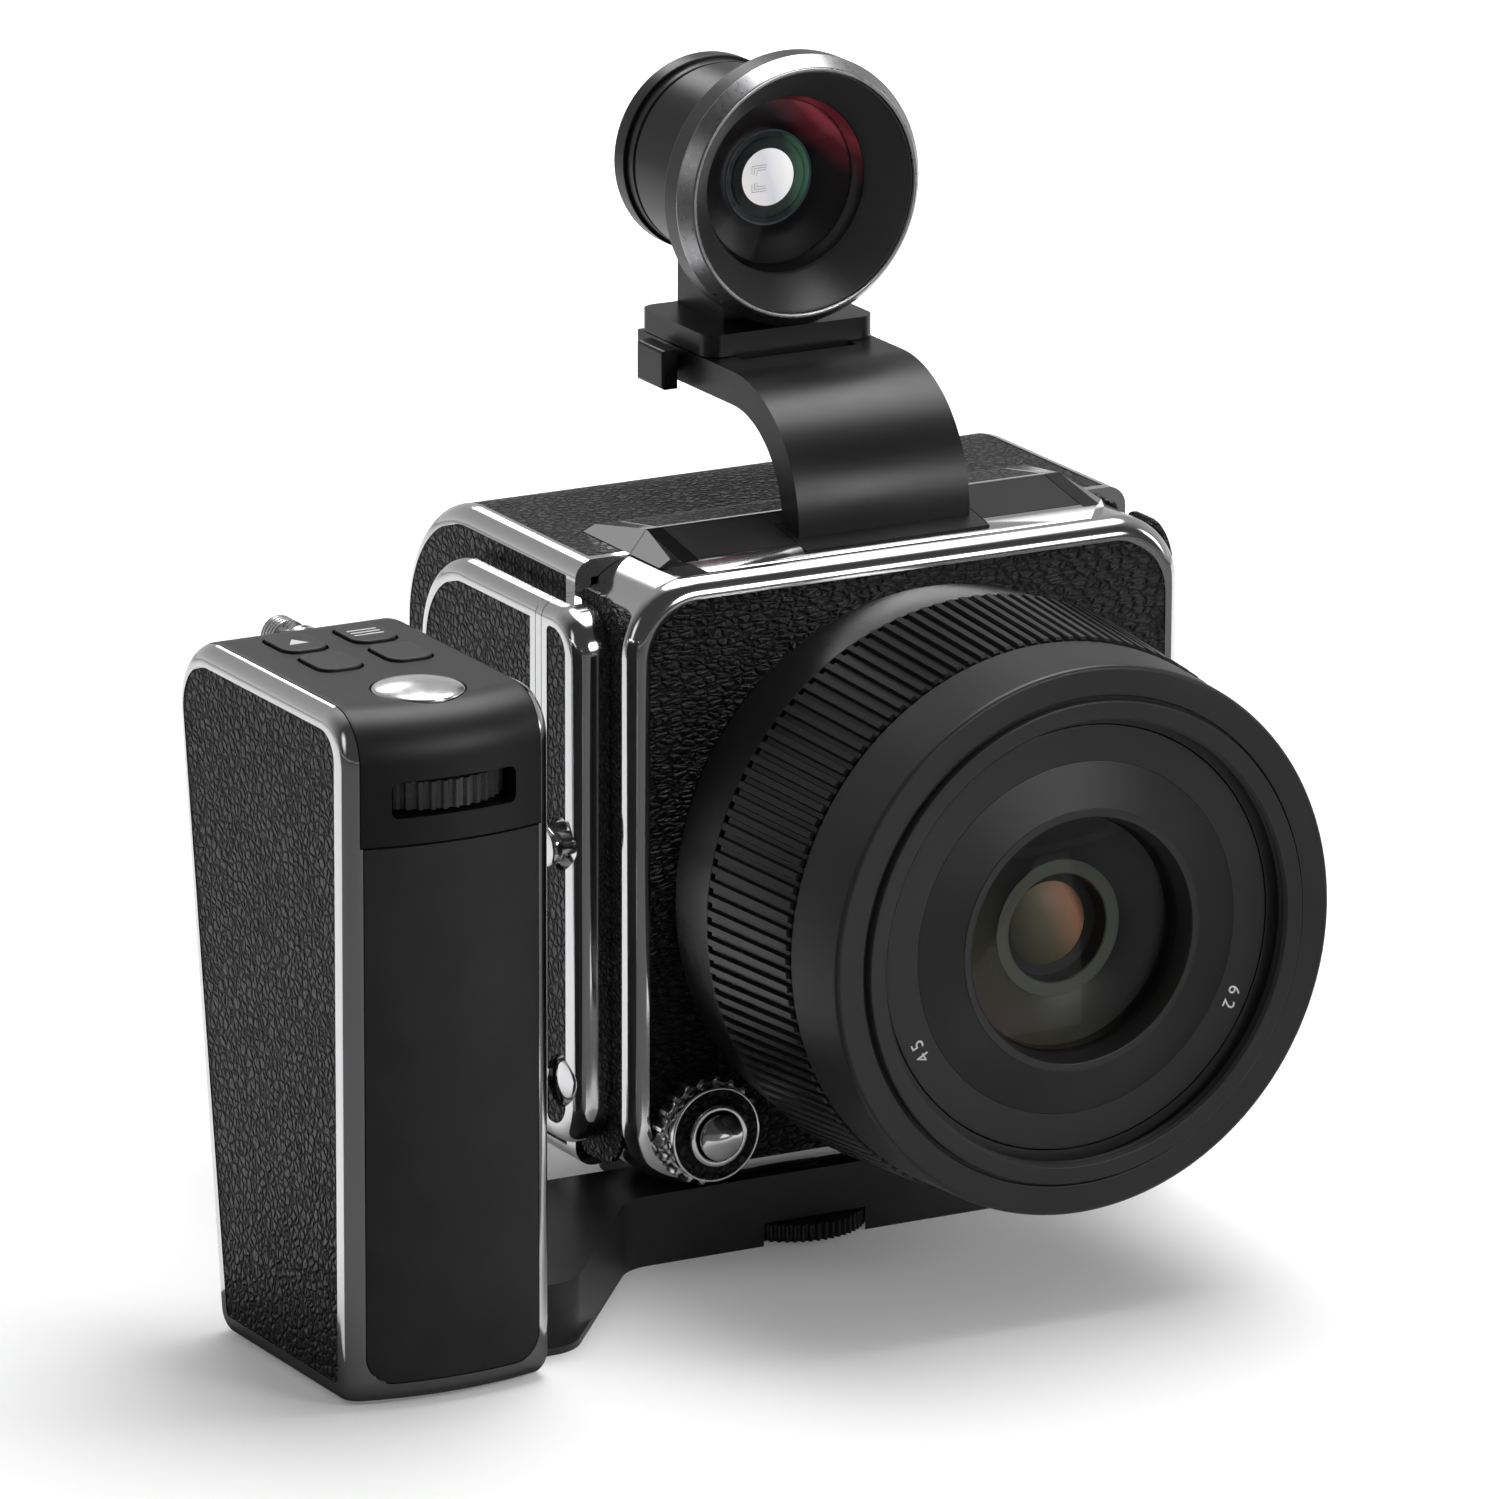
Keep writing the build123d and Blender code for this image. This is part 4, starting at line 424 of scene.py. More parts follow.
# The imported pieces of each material

LOOKS = (
    (CHROME, ("front_frame", "front_pad", "strap_lugs", "side_release_button", "control_wheel",
              "release_bezel", "release_button", "top_cover", "hump_rear", "back_housing", "back_pad",
              "finder_bezel", "grip_frame", "grip_shutter_button")),
    (STEEL, ("body_mount_ring", "lens_mount", "joystick_gimbal", "joystick_stem", "joystick", "grip_screws")),
    (FRONT_LEATHER, ("front_leathers",)),
    (LEATHER, ("pad_leathers", "hump_leather", "back_leathers", "battery_door", "grip_leathers")),
    (BLACK, ("shoe_plate", "screen_frame", "bracket", "finder_foot", "finder_barrel", "finder_front_ring",
             "finder_eyepiece", "finder_lock_button")),
    (LENS_BLACK, ("lens_rear_barrel", "focus_ring", "lens_front_barrel", "name_ring")),
    (PLATE_BLACK, ("base_plate", "thumb_wheel")),
    (CAP_BLACK, ("grip_cap",)),
    (WHEEL_BLACK, ("grip_front_wheel",)),
    (PLASTIC, ("battery", "rear_panel", "aperture_diaphragm")),
    (BUTTON, ("rear_button_1", "rear_button_2", "rear_button_3", "rear_button_4",
              "grip_button_1", "grip_button_2", "grip_button_3", "grip_button_4")),
    (RUBBER, ("grip_front_pad",)),
    (BOARD, ("sensor_unit", "circuit_boards")),
    (LENS_GLASS, ("front_element",)),
    (INNER_GLASS, ("inner_elements",)),
    (FINDER_GLASS, ("finder_lenses",)),
    (SCREEN_GLASS, ("screen_glass",)),
)


# Smooth shading of the pieces: a modifier joins their corners and keeps real edges sharp

WELD = 0.002
SHARP_ANGLE = 32.0       # degrees


def shading_group():
    """Geometry nodes that weld the mesh and shade it smooth up to an angle."""
    group = bpy.data.node_groups.new("smooth_by_angle", "GeometryNodeTree")
    for way in ("INPUT", "OUTPUT"):
        group.interface.new_socket("Geometry", in_out=way, socket_type="NodeSocketGeometry")
    g = Nodes(group)
    start = g.node("NodeGroupInput")
    weld = g.node("GeometryNodeMergeByDistance", Distance=WELD * MM)
    faces = g.node("GeometryNodeSetShadeSmooth")
    edges = g.node("GeometryNodeSetShadeSmooth", domain="EDGE")
    end = g.node("NodeGroupOutput")
    angle = g.node("GeometryNodeInputMeshEdgeAngle")
    gentle = g.node("FunctionNodeCompare", operation="LESS_THAN")
    gentle.inputs[1].default_value = math.radians(SHARP_ANGLE)
    g.link(angle.outputs["Unsigned Angle"], gentle.inputs[0])
    g.link(gentle.outputs["Result"], edges.inputs["Shade Smooth"])
    chain = (start, weld, faces, edges, end)
    for source, target in zip(chain, chain[1:]):
        g.link(source.outputs[0], target.inputs[0])
    return group


SHADING = shading_group()


def even_out(made):
    """Smooth shading that keeps flat faces flat."""
    smooth = made.modifiers.new("smooth", "NODES")
    smooth.node_group = SHADING
    even = made.modifiers.new("even", "WEIGHTED_NORMAL")
    even.keep_sharp = True


def dress_nodes():
    look_of = {name: material for material, names in LOOKS for name in names}
    for name, node in nodes.items():
        node.data.materials.clear()
        node.data.materials.append(look_of[name])
        even_out(node)


dress_nodes()


# Builders of turned pieces. A profile is a list of (radius, place along the axis, easing of that corner)

TURNS = 240
EASE_STEPS = 4
EASE_SHARE = 0.45        # the most of an edge that the easing of a corner takes
DOME_STEPS = 10


def piece(name, points, faces, body, material, instead=()):
    mesh = bpy.data.meshes.new(name)
    mesh.from_pydata([Vector(point) * MM for point in points], [], faces)
    work = bmesh.new()
    work.from_mesh(mesh)
    bmesh.ops.recalc_face_normals(work, faces=work.faces[:])
    work.to_mesh(mesh)
    work.free()
    mesh.materials.append(material)
    made = bpy.data.objects.new(name, mesh)
    scene.collection.objects.link(made)
    even_out(made)
    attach(made, body)
    if instead:
        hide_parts(*instead)


def eased(profile, closed):
    """The profile with its corners turned into small curves."""
    corners = [(r, place, rest[0] if rest else 0) for r, place, *rest in profile]
    points = []
    count = len(corners)
    for k, (r, place, ease) in enumerate(corners):
        if ease <= 0 or (not closed and k in (0, count - 1)):
            points.append((r, place))
            continue
        here = Vector((r, place))
        before = Vector(corners[k - 1][:2]) - here
        after = Vector(corners[(k + 1) % count][:2]) - here
        start = before.normalized() * min(ease, before.length * EASE_SHARE)
        end = after.normalized() * min(ease, after.length * EASE_SHARE)
        for step in range(EASE_STEPS + 1):
            t = step / EASE_STEPS
            spot = here + start * (1 - t) ** 2 + end * t ** 2
            points.append((spot.x, spot.y))
    return points


def spot_on(axis, centre, r, along, turn):
    """A point at a radius and angle about an axis; centre holds the other two coordinates."""
    u, v = centre[0] + r * math.cos(turn), centre[1] + r * math.sin(turn)
    if axis == "X":
        return (along, u, v)
    if axis == "Y":
        return (u, along, v)
    return (u, v, along)


def bridge(rows, closed):
    """Faces between rows of point numbers; a row of one number is a pole."""
    faces = []
    pairs = list(zip(rows, rows[1:])) + ([(rows[-1], rows[0])] if closed else [])
    for low, high in pairs:
        for k in range(max(len(low), len(high))):
            after = k + 1
            loop = [low[k % len(low)], low[after % len(low)], high[after % len(high)], high[k % len(high)]]
            loop = list(dict.fromkeys(loop))
            if len(loop) > 2:
                faces.append(loop)
    return faces


def lathe(name, body, material, profile, axis, centre, closed=True, instead=()):
    points, rows = [], []
    for r, along in eased(profile, closed):
        count = TURNS if r > 0 else 1
        rows.append(list(range(len(points), len(points) + count)))
        points += [spot_on(axis, centre, r, along, 2 * math.pi * k / TURNS) for k in range(count)]
    piece(name, points, bridge(rows, closed), body, material, instead)


def fluted(name, body, material, stations, bore, turns, axis, centre, instead=()):
    """A turned piece whose outside has flutes: stations are (radius, place), turns are (angle, dip)."""
    points, rows = [], []
    outside = [(r, place, 1) for r, place in stations]
    ends = [(bore, stations[0][1], 0)] + outside + [(bore, stations[-1][1], 0)]
    for r, along, share in ends:
        rows.append(list(range(len(points), len(points) + len(turns))))
        points += [spot_on(axis, centre, r - share * dip, along, turn) for turn, dip in turns]
    piece(name, points, bridge(rows, True), body, material, instead)


def ahead(profile):
    """A profile given by distances before the body's front face."""
    return [(r, FRONT - d, *rest) for r, d, *rest in profile]


def dome_points(radius, apex, edge):
    """A shallow dome from its apex to its edge."""
    steps = range(DOME_STEPS + 1)
    return [(radius * k / DOME_STEPS, apex + (edge - apex) * (k / DOME_STEPS) ** 2) for k in steps]


# Lens: (radius, distance before the front face, easing)

LENS = (0, AXIS)
RIBS = 126
RIB_DEPTH = 0.7
RIB_SHARES = ((0.0, 0), (0.44, 0), (0.56, 1), (0.88, 1))    # shares of a rib's turn and of its depth
RIBBED_BORE = 36.5
RIBBED_RING = ((39.25, 36.4), (39.55, 36.1), (40.95, 16.75), (40.65, 16.4))
BASE_BARREL = (
    (19.2, 4.9), (39.5, 4.9, 0.3), (40.6, 16.1, 0.25), (36.4, 16.1), (36.4, 36.7), (34.2, 36.7),
    (34.2, 7.1), (21.0, 7.1), (21.0, 38.6), (19.2, 38.6))
THREAD = (
    (31.0, 47.55), (31.18, 47.7), (31.0, 47.85), (31.18, 48.05), (31.0, 48.25), (31.18, 48.45),
    (31.0, 48.65), (31.0, 48.85))
FRONT_RIM = (
    (31.45, 49.3, 0.12), (33.8, 49.3, 0.25), (33.8, 47.9), (34.3, 47.9), (34.3, 48.4, 0.2),
    (38.5, 48.4, 0.7), (39.1, 36.7, 0.3), (34.2, 36.7), (34.2, 44.6), (29.9, 44.6), (29.9, 46.1),
    (32.1, 46.1), (32.1, 47.4), *THREAD)
NAME_RING = ((29.75, 46.1, 0.15), (24.75, 46.1), (24.75, 44.6), (29.75, 44.6))
CONE = (
    (24.7, 46.12), (18.45, 47.6), (18.4, 47.7, 0.1), (17.3, 47.7, 0.15), (16.6, 45.6), (16.4, 38.6),
    (21.0, 38.6), (21.0, 44.6), (24.7, 44.6))
FRONT_GLASS = dome_points(16.5, 46.4, 44.9)
DEEP_GLASS = ((16.4, 43.5), (16.1, 42.2), (14.0, 42.0), (12.0, 41.6), (10.5, 41.2), (9.6, 40.9))
INNER_RING = ((9.65, 40.8), (9.6, 41.05, 0.1), (7.75, 41.05, 0.1), (7.6, 40.7))
INNER_TUBE = ((7.6, 40.8), (7.2, 38.6), (5.9, 38.2), (5.9, 37.9))
EYE = dome_points(5.9, 39.6, 38.0)

rib_turns = []
for rib in range(RIBS):
    rib_turns += [(2 * math.pi * (rib + share) / RIBS, dip * RIB_DEPTH) for share, dip in RIB_SHARES]

lathe("lens_base_barrel", "camera", LENS_BLACK, ahead(BASE_BARREL), "Y", LENS,
      instead=["lens_rear_barrel"])
fluted("lens_ribbed_ring", "focus_ring", LENS_BLACK, ahead(RIBBED_RING), RIBBED_BORE,
       rib_turns, "Y", LENS, instead=["focus_ring"])
for name, slot, material, profile, closed, replaced in (
        ("lens_front_rim", "black_anodised", RING_BLACK, FRONT_RIM, True, "lens_front_barrel"),
        ("lens_name_ring", "black_anodised", RING_BLACK, NAME_RING, True, "name_ring"),
        ("lens_cone", "black_anodised", CONE_BLACK, CONE, True, "name_ring"),
        ("lens_front_glass", "lens_glass", LENS_GLASS, FRONT_GLASS, False, "front_element"),
        ("lens_deep_glass", "lens_glass", LENS_DEEP, DEEP_GLASS, False, "front_element"),
        ("lens_inner_ring", "lens_glass", LENS_RING, INNER_RING, False, "front_element"),
        ("lens_inner_tube", "black_anodised", DULL, INNER_TUBE, False, "front_element"),
        ("lens_eye", "lens_glass", LENS_EYE, EYE, False, "front_element")):
    lathe(name, "camera", material, ahead(profile), "Y", LENS, closed, [replaced])


# Numbers printed on the lens's ring, read clockwise, with their heads outwards

INK = 0.02               # half the thickness of printed marks
NUMBERS = (("4", 209.5), ("5", 205.2), ("6", -23.8), ("2", -28.1))    # digit, and degrees round the ring
NUMBER_RADIUS = 27.4     # to their heads
NUMBER_HEIGHT = 1.9
NUMBER_PLACE = FRONT - 46.12
FONT_SHARE = 1.4         # font size beside the height of a digit


def lens_numbers():
    points, faces = [], []
    for digit, degrees in NUMBERS:
        curve = bpy.data.curves.new("digit", "FONT")
        curve.body = digit
        curve.size = NUMBER_HEIGHT * FONT_SHARE
        curve.extrude = INK
        curve.align_x = "CENTER"
        holder = bpy.data.objects.new("digit", curve)
        flat = bpy.data.meshes.new_from_object(holder)
        turn = math.radians(degrees)
        out = Vector((math.cos(turn), 0, math.sin(turn)))
        reading = Vector((math.sin(turn), 0, -math.cos(turn)))
        middle = Vector((LENS[0], NUMBER_PLACE, LENS[1])) + out * (NUMBER_RADIUS - NUMBER_HEIGHT / 2)
        start = len(points)
        points += [middle + reading * v.co.x + out * v.co.y - Vector((0, v.co.z, 0)) for v in flat.vertices]
        faces += [[start + v for v in face.vertices] for face in flat.polygons]
        bpy.data.objects.remove(holder)
        bpy.data.curves.remove(curve)
        bpy.data.meshes.remove(flat)
    piece("lens_numbers", points, faces, "camera", PRINT)


lens_numbers()

# Finder: (radius, place along Y, easing)

FINDER = (0, FINDER_AXIS)
FINDER_TUBE = (
    (11.6, 8.0), (12.5, 8.0), (12.5, 6.0), (13.6, 6.0), (13.6, 24.6, 0.1), (13.3, 24.8), (13.3, 25.1),
    (13.6, 25.3, 0.1), (13.6, 27.1), (11.6, 27.1), (11.6, 12.2), (4.2, 12.2), (4.2, 11.0), (11.6, 11.0))
EYE_RING = ((8.0, 27.15), (14.1, 27.15, 0.2), (14.1, 30.2, 0.5), (10.5, 30.2, 0.2))
HOOD = (
    (17.12, 0.35, 0.1), (16.9, 0.35, 0.08), (16.7, 0.75), (12.75, 5.3), (12.6, 6.0), (19.2, 6.0, 0.4),
    (19.2, 2.36, 0.1), (17.12, 2.36))
FINDER_RIM = (
    (17.15, 0.1, 0.1), (17.3, 0.0, 0.1), (17.7, 0.0, 0.25), (19.2, 2.2, 0.12), (19.2, 2.32), (17.15, 2.32))
FINDER_FRONT = dome_points(12.6, 4.7, 5.9)
FINDER_DEPTH = (
    (12.5, 6.0), (12.0, 7.0), (11.6, 8.3), (10.2, 9.0), (8.6, 9.7), (7.2, 10.4), (6.8, 10.8))
INNER_EDGE = ((6.9, 10.85), (6.75, 10.7), (6.6, 10.8), (6.5, 10.95))
FINDER_INNER = ((6.6, 10.9), (5.9, 10.85), (5.75, 10.7), (5.6, 10.85), (4.1, 10.95))
PUPIL = dome_points(4.15, 10.75, 10.98)
EYE_LENS = ((0, 25.7), (11.5, 25.7), (11.5, 27.1), (7.9, 27.1), (0, 26.7))

for name, slot, material, profile, closed, replaced in (
        ("finder_tube", "black_anodised", BLACK, FINDER_TUBE, True, "finder_barrel"),
        ("finder_eye_ring", "black_anodised", BLACK, EYE_RING, True, "finder_eyepiece"),
        ("finder_hood", "black_anodised", FINDER_CONE, HOOD, True, "finder_front_ring"),
        ("finder_chrome_rim", "chrome", RIM_STEEL, FINDER_RIM, True, "finder_bezel"),
        ("finder_front_glass", "finder_glass", FINDER_GLASS, FINDER_FRONT, False, "finder_lenses"),
        ("finder_deep_glass", "finder_glass", FINDER_DEEP, FINDER_DEPTH, False, "finder_lenses"),
        ("finder_inner_edge", "finder_glass", FINDER_EDGE, INNER_EDGE, False, "finder_lenses"),
        ("finder_inner_ring", "finder_glass", FINDER_RING, FINDER_INNER, False, "finder_lenses"),
        ("finder_pupil", "finder_glass", FINDER_PUPIL, PUPIL, False, "finder_lenses"),
        ("finder_eye_glass", "finder_glass", EYE_GLASS, EYE_LENS, False, "finder_lenses")):
    lathe(name, "camera", material, profile, "Y", FINDER, closed, [replaced])

PICTURE_FRAMES = ((2.7, 1.9, 1.5), (2.3, 1.55, 1.2), (1.9, 1.2, 0.9))    # half width, half height, arm
FRAME_PLACE = 10.66
LINE_WIDTH = 0.07
ARM_ACROSS = 1.6         # lengths of a corner's two lines, in arms
ARM_UPRIGHT = 0.8


def frame_lines():
    """Nested corner lines of the finder's picture frames, seen in its pupil."""
    points, faces = [], []
    for half, rise, arm in PICTURE_FRAMES:
        for up in (-1, 1):
            left, edge = -half, FINDER_AXIS + up * rise
            right = left + arm * ARM_ACROSS
            inner = edge - up * LINE_WIDTH
            tip = edge - up * arm * ARM_UPRIGHT
            bars = (((left, edge), (right, edge), (right, inner), (left, inner)),
                    ((left, edge), (left, tip), (left + LINE_WIDTH, tip), (left + LINE_WIDTH, edge)))
            for bar in bars:
                start = len(points)
                points += [(x, FRAME_PLACE, z) for x, z in bar]
                faces.append(list(range(start, start + len(bar))))
    piece("finder_frame_lines", points, faces, "camera", FRAME_LINE, ["finder_lenses"])


frame_lines()

# Release button and its wheel at the lower front corner: (radius, distance before the front face, easing)

DIAL = (-32.9, 19.1)
SCALLOPS = 20
SCALLOP = 0.98           # radius of one hollow
SCALLOP_STEPS = 10
WHEEL = 7.75
WHEEL_BORE = 5.2
WHEEL_EDGE = ((WHEEL - 0.5, 3.2), (WHEEL - 0.12, 2.95), (WHEEL, 2.7), (WHEEL, 0.5), (WHEEL - 0.2, 0.3))
RELEASE_RIM = (
    (3.55, 3.5), (6.8, 3.5, 0.1), (6.8, 4.8, 0.2), (6.45, 4.8, 0.08), (6.4, 4.5), (4.5, 4.5),
    (4.4, 5.7, 0.35), (3.55, 5.7, 0.25))
RELEASE_LEATHER = ((4.45, 4.52), (4.5, 4.66, 0.05), (6.38, 4.66, 0.05), (6.42, 4.52))
RELEASE_NECK = ((3.55, 3.5), (5.14, 3.5), (5.14, -1.2), (3.55, -1.2))
RELEASE_DOME = (*dome_points(3.1, 7.6, 6.75), (3.3, 6.5), (3.3, 2.6), (1.5, 2.6), (1.5, -6.0), (0, -6.0))


def scallop_turns():
    """The wheel's outline: round hollows between short lands."""
    turns = []
    centre = WHEEL + SCALLOP / 3
    for k in range(SCALLOPS * SCALLOP_STEPS):
        turn = 2 * math.pi * k / (SCALLOPS * SCALLOP_STEPS)
        off = (turn + math.pi / SCALLOPS) % (2 * math.pi / SCALLOPS) - math.pi / SCALLOPS
        inside = SCALLOP ** 2 - (centre * math.sin(off)) ** 2
        r = min(WHEEL, centre * math.cos(off) - math.sqrt(inside)) if inside > 0 else WHEEL
        turns.append((turn, WHEEL - r))
    return turns


fluted("scalloped_wheel", "control_wheel", CAP_STEEL, ahead(WHEEL_EDGE), WHEEL_BORE,
       scallop_turns(), "Y", DIAL, instead=["control_wheel"])
for name, body, slot, material, profile, closed, replaced in (
        ("release_rim", "camera", "chrome", CHROME, RELEASE_RIM, True, "release_bezel"),
        ("release_leather", "camera", "black_leather", LEATHER, RELEASE_LEATHER, False, "release_bezel"),
        ("release_neck", "camera", "chrome", CHROME, RELEASE_NECK, True, "release_bezel"),
        ("release_dome", "release_button", "chrome", CHROME, RELEASE_DOME, False, "release_button")):
    lathe(name, body, material, ahead(profile), "Y", DIAL, closed, [replaced])

# Studs, side button and the grip's shutter button

SIDE_LINE = FRONT + 10.6             # place along Y of the studs and of the side button
STUD = (SIDE_LINE, 59.1)
STUD_FACES = (("grip_side", -1, 49.0), ("far_side", 1, 43.7))    # the side, and where its face stands
STUD_SINK = 1.6                      # from that face down to the floor that the stud stands on
STUD_ROOT = 2.0                      # below the floor
STUD_NECK = 2.6                      # above the floor, up to the head
STUD_HEAD = 1.6                      # thickness of the head, and of it in the dimple
STUD_DIMPLE = 1.35
SHANK_RADIUS = 1.6
HEAD_RADIUS = 2.9
DIMPLE_RADII = (0.9, 0.7)            # at the head's face and at its own floor
UNDER_EASING = 0.3                   # on the shank and under the head
FACE_EASING = 0.6

for name, side, face in STUD_FACES:
    root = face - STUD_SINK - STUD_ROOT
    neck = face - STUD_SINK + STUD_NECK
    top = neck + STUD_HEAD
    dimple = neck + STUD_DIMPLE
    stud = ((0, root), (SHANK_RADIUS, root), (SHANK_RADIUS, neck, UNDER_EASING),
            (HEAD_RADIUS, neck, UNDER_EASING), (HEAD_RADIUS, top, FACE_EASING),
            (DIMPLE_RADII[0], top), (DIMPLE_RADII[1], dimple), (0, dimple))
    lathe("strap_stud_" + name, "camera", CHROME, [(r, side * x, *rest) for r, x, *rest in stud],
          "X", STUD, closed=False, instead=["strap_lugs"])

SIDE_BUTTON = (SIDE_LINE, 25.1)
SIDE_CAP = ((0, -48.7), (1.5, -48.64), (2.6, -48.4, 0.3), (2.9, -48.0, 0.3), (2.9, -46.2), (0, -46.2))
lathe("side_button_cap", "side_release_button", CHROME, SIDE_CAP, "X", SIDE_BUTTON,
      closed=False, instead=["side_release_button"])

SHUTTER = (-90.6, FRONT - 27.6)
SHUTTER_CAP = (*dome_points(5.9, 97.4, 96.45), (6.3, 96.15, 0.2), (6.3, 92.9), (0, 92.9))
lathe("shutter_cap", "grip_shutter_button", CAP_STEEL, SHUTTER_CAP, "Z", SHUTTER,
      closed=False, instead=["grip_shutter_button"])


# Icons printed on two of the grip's keys: an arrow and three lines

KEY_TOP = 96.6
KEY_ROW = FRONT - 0.6
ARROW = (-95.1, 1.5, 2.4)          # place across, half width and length
LINES = (-84.6, 2.2, 0.42, 1.15)   # place across, half length, width and spacing


def flat_marks(name, body, outlines):
    """Thin printed marks with closed sides, from outlines in the plane of the key's top."""
    points, faces = [], []
    for outline in outlines:
        start, count = len(points), len(outline)
        for height in (KEY_TOP - INK, KEY_TOP + INK):
            points += [(x, KEY_ROW + y, height) for x, y in outline]
        faces += [list(range(start, start + count)), list(range(start + count, start + 2 * count))]
        for k in range(count):
            after = (k + 1) % count
            faces.append([start + k, start + after, start + count + after, start + count + k])
    piece(name, points, faces, body, PRINT)


def print_icons():
    x, half, length = ARROW
    arrow = ((x - half, -length / 2), (x + half, -length / 2), (x, length / 2))
    flat_marks("arrow_icon", "grip_button_3", [arrow])
    x, half, width, spacing = LINES
    bars = []
    for y in (-spacing, 0, spacing):
        low, high = y - width / 2, y + width / 2
        bars.append(((x - half, low), (x + half, low), (x + half, high), (x - half, high)))
    flat_marks("lines_icon", "grip_button_4", bars)


print_icons()


# Black walls of the tray that the shoe plate lies in, on the slope of the hump

WALL_ENDS = ((5.0, 32.9), (15.9, 32.75))    # distance behind the front face, and the outer edge there
WALL_INNER = 30.35
WALL_LIFT = 0.04
SLOPE_START = 4.6                           # behind the front face
SLOPE_LOW = 98.2
SLOPE_RISE = 2.2
SLOPE_RUN = 11.4


def tray_walls():
    points, faces = [], []
    for side in (-1, 1):
        start = len(points)
        for y, reach in WALL_ENDS:
            height = SLOPE_LOW + (y - SLOPE_START) * SLOPE_RISE / SLOPE_RUN + WALL_LIFT
            points += [(side * reach, FRONT + y, height), (side * WALL_INNER, FRONT + y, height)]
        faces.append([start, start + 1, start + 3, start + 2])
    piece("tray_walls", points, faces, "camera", GLOSS)


tray_walls()


# Floor, cards, world and lamps

PAPER_ROUGH = 0.9
FLOOR_HALF = 3000.0
FLOOR_GREY = 0.92
FLOOR_GLOW = 0.10                    # at the object; it grows to 1 over FLOOR_FADE
FLOOR_FADE = (0.20, 0.95)            # metres from the origin


def sheet_of_paper(name, corners, height, material):
    mesh = bpy.data.meshes.new(name)
    mesh.from_pydata([(x * MM, y * MM, height * MM) for x, y in corners], [], [tuple(range(len(corners)))])
    made = bpy.data.objects.new(name, mesh)
    scene.collection.objects.link(made)
    mesh.materials.append(material)
    return made


def make_floor():
    """Paper that keeps the shadow, and glows for the eye alone, so that it turns white farther off."""
    half = FLOOR_HALF
    s = Shader("floor_paper").set(Roughness=PAPER_ROUGH)
    s.set(Base_Color=grey(FLOOR_GREY), Emission_Color=grey(1.0))
    away = s.node("ShaderNodeVectorMath", operation="LENGTH")
    s.link(s.coordinates, away.inputs[0])
    glow = s.span(away.outputs["Value"], FLOOR_GLOW, 1.0, *FLOOR_FADE)
    s.use("Emission Strength", s.math("MULTIPLY", s.seen_by_eye(), glow))
    sheet_of_paper("floor", ((-half, -half), (half, -half), (half, half), (-half, half)), 0, s.material)


# Cards round the set, seen only in polished metal: grey ones and one bright strip

CARD_TONE = 0.09
CARD_HEIGHT = 1.0
CARDS = {
    "front_card": ((-1500, -1500), (1500, -1500), (1500, -96), (-1500, -96)),
    "foot_card": ((-122, -96), (-60, -96), (-60, -14), (-122, -14)),
    "left_card": ((-1500, -96), (-114, -96), (-114, -62), (-1500, 720)),
}
STRIP_TONE = 0.9
STRIP_HEIGHT = 2.0
STRIPS = {"bright_strip": ((-20, -140), (40, -130), (640, -1300), (480, -1300))}
UNSEEN_BY = ("camera", "diffuse", "transmission", "shadow", "volume_scatter")


def make_cards():
    for tone, height, sheets in ((CARD_TONE, CARD_HEIGHT, CARDS), (STRIP_TONE, STRIP_HEIGHT, STRIPS)):
        s = Shader("card_paper").set(Base_Color=grey(tone), Roughness=PAPER_ROUGH)
        for name, corners in sheets.items():
            card = sheet_of_paper(name, corners, height, s.material)
            for kind in UNSEEN_BY:
                setattr(card, "visible_" + kind, False)


WORLD_LEVEL = 0.30                   # light that the world throws on the object
MIRROR_LEVELS = ((0.0, 0.60), (0.12, 0.46), (0.34, 0.38), (0.60, 0.32), (1.0, 0.45))    # behind, by height
DARK_SIDE = 0.05                     # what metal sees in front of the object
BEHIND = (0.40, 0.91, 0.10)          # from the object to the backdrop
BEHIND_FADE = (-0.15, 0.55)          # the backdrop starts and is full here, as parts of BEHIND


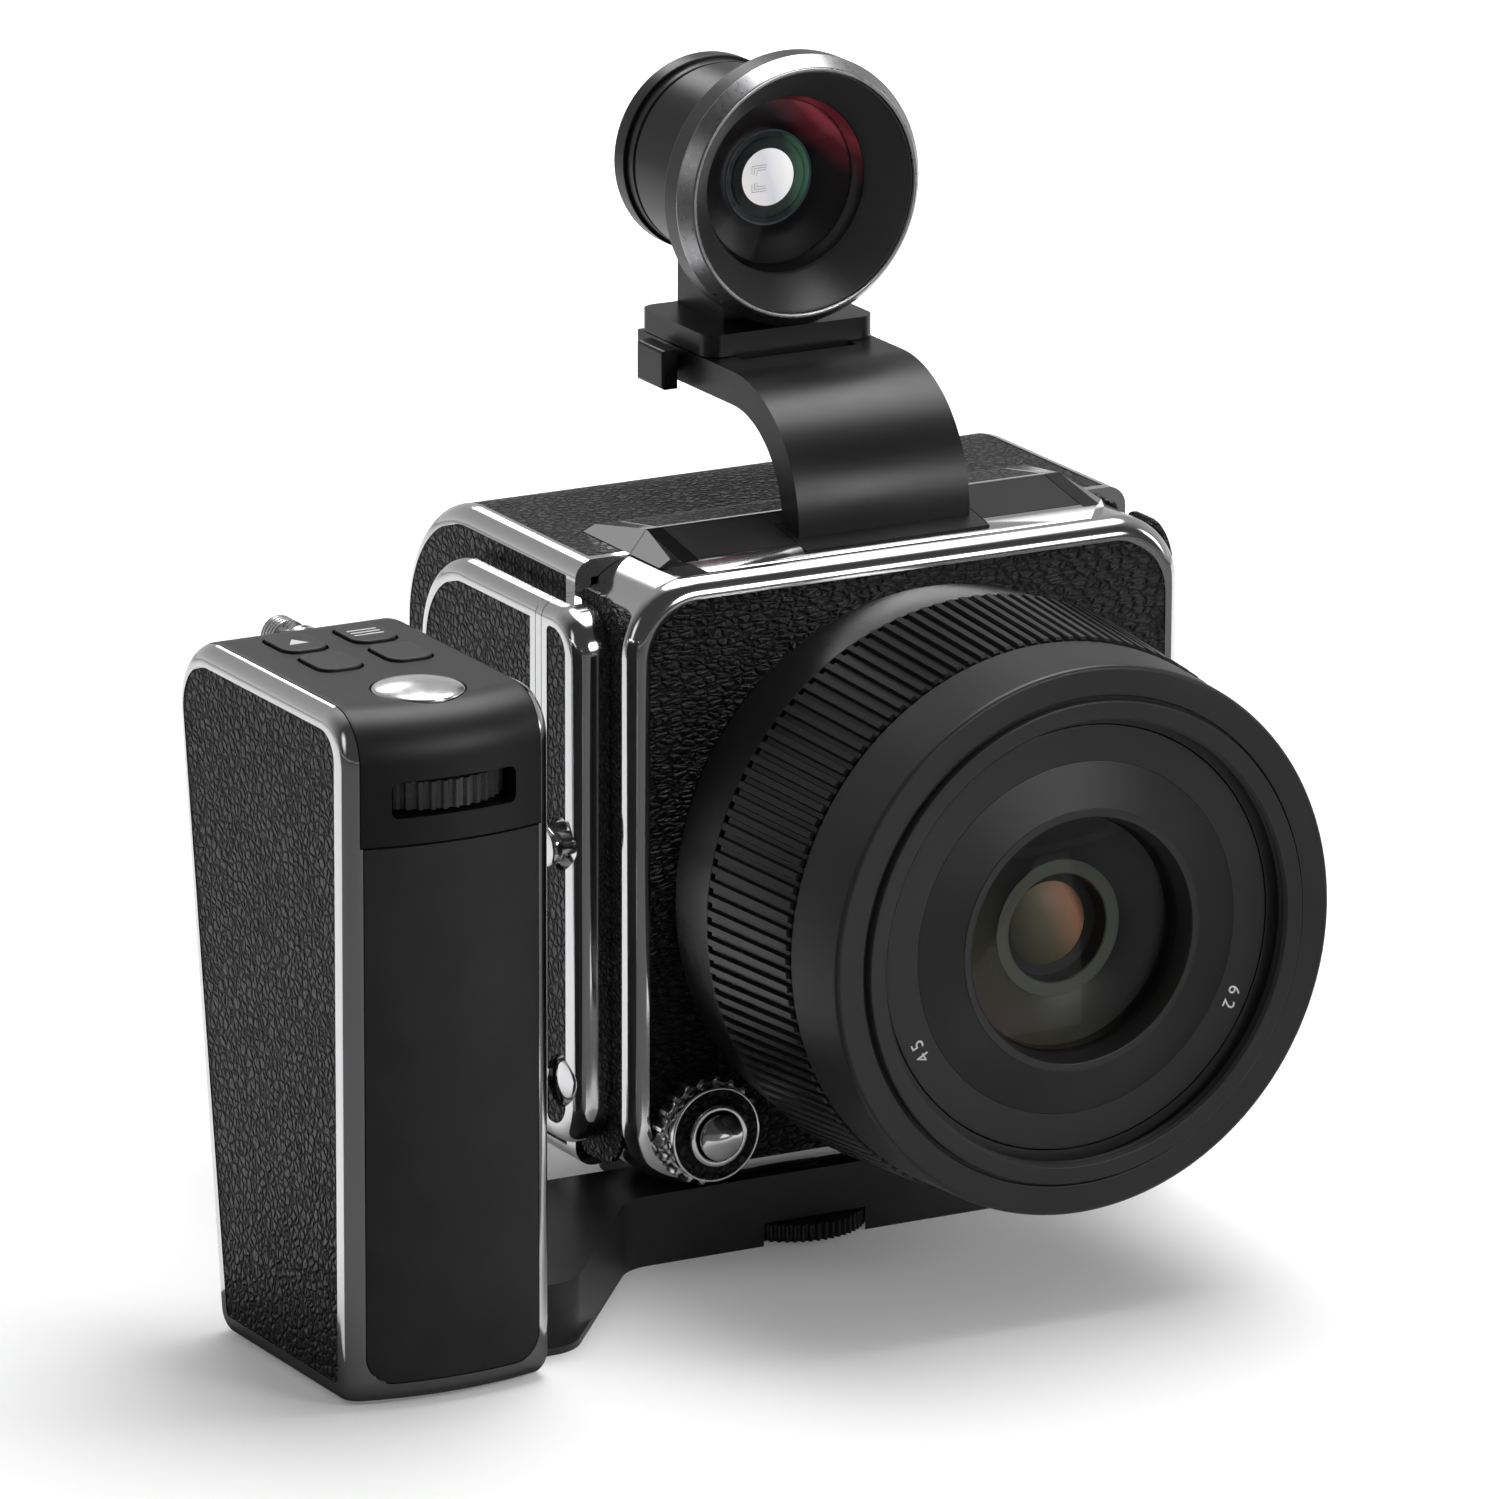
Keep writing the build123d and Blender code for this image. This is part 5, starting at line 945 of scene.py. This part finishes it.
def make_world():
    """White for the eye; metal sees a pale backdrop behind the object and a dark room in front."""
    world = bpy.data.worlds.new("studio")
    scene.world = world
    world.use_nodes = True
    world.node_tree.nodes.clear()
    w = Nodes(world.node_tree)

    def background(colour):
        made = w.node("ShaderNodeBackground")
        w.feed(made.inputs["Color"], colour)
        return made.outputs["Background"]

    direction = w.node("ShaderNodeTexCoord").outputs["Generated"]
    apart = w.node("ShaderNodeSeparateXYZ")
    w.link(direction, apart.inputs["Vector"])
    backdrop = w.ramp(apart.outputs["Z"], [(place, (level,) * 3) for place, level in MIRROR_LEVELS])
    share = w.span(w.vector("DOT_PRODUCT", direction, BEHIND, "Value"), 0.0, 1.0, *BEHIND_FADE)
    mirrored = background(w.mix_colours(share, grey(DARK_SIDE), backdrop))
    in_metal = w.node("ShaderNodeLightPath").outputs["Is Glossy Ray"]
    lighting = w.mix_shaders(in_metal, background(grey(WORLD_LEVEL)), mirrored)
    final = w.mix_shaders(w.seen_by_eye(), lighting, background(grey(1.0)))
    w.link(final, w.node("ShaderNodeOutputWorld").inputs["Surface"])


# Lamps with soft edges: (place, size, watts), in metres

LAMPS = {
    "top_box": ((0.22, 0.12, 0.95), (1.1, 0.9), 10.5),
    "left_box": ((-0.95, -0.10, 0.42), (0.35, 0.7), 0.3),
    "front_box": ((0.42, -1.05, 0.42), (0.6, 0.4), 4.0),
    "back_box": ((0.20, 1.10, 0.75), (0.55, 0.30), 1.5),
    "right_box": ((0.9, -0.35, 0.35), (0.25, 0.6), 0.8),
}
LAMP_AIM = (0, 0, 0.06)
LAMP_MIDDLE = (0.5, 0.5, 0)          # in shares of a lamp's sides
LAMP_FADE = (0.1, 0.52)              # from its middle, in the same shares
SOFT_GAIN = 2.6                      # makes up for the soft edges


def lamp(name, place, size, power):
    data = bpy.data.lights.new(name, "AREA")
    data.shape = "RECTANGLE"
    data.size, data.size_y = size
    data.energy = power
    data.use_nodes = True
    n = Nodes(data.node_tree)
    spot = n.node("ShaderNodeNewGeometry").outputs["Parametric"]
    off_middle = n.vector("DISTANCE", spot, LAMP_MIDDLE, "Value")
    strength = n.span(off_middle, SOFT_GAIN, 0.0, *LAMP_FADE, blend="SMOOTHSTEP")
    n.link(strength, n.tree.nodes["Emission"].inputs["Strength"])
    made = bpy.data.objects.new(name, data)
    made.location = place
    made.rotation_mode = "QUATERNION"
    made.rotation_quaternion = (Vector(place) - Vector(LAMP_AIM)).to_track_quat("Z", "Y")
    scene.collection.objects.link(made)


make_floor()
make_cards()
make_world()
for name, (place, size, power) in LAMPS.items():
    lamp(name, place, size, power)
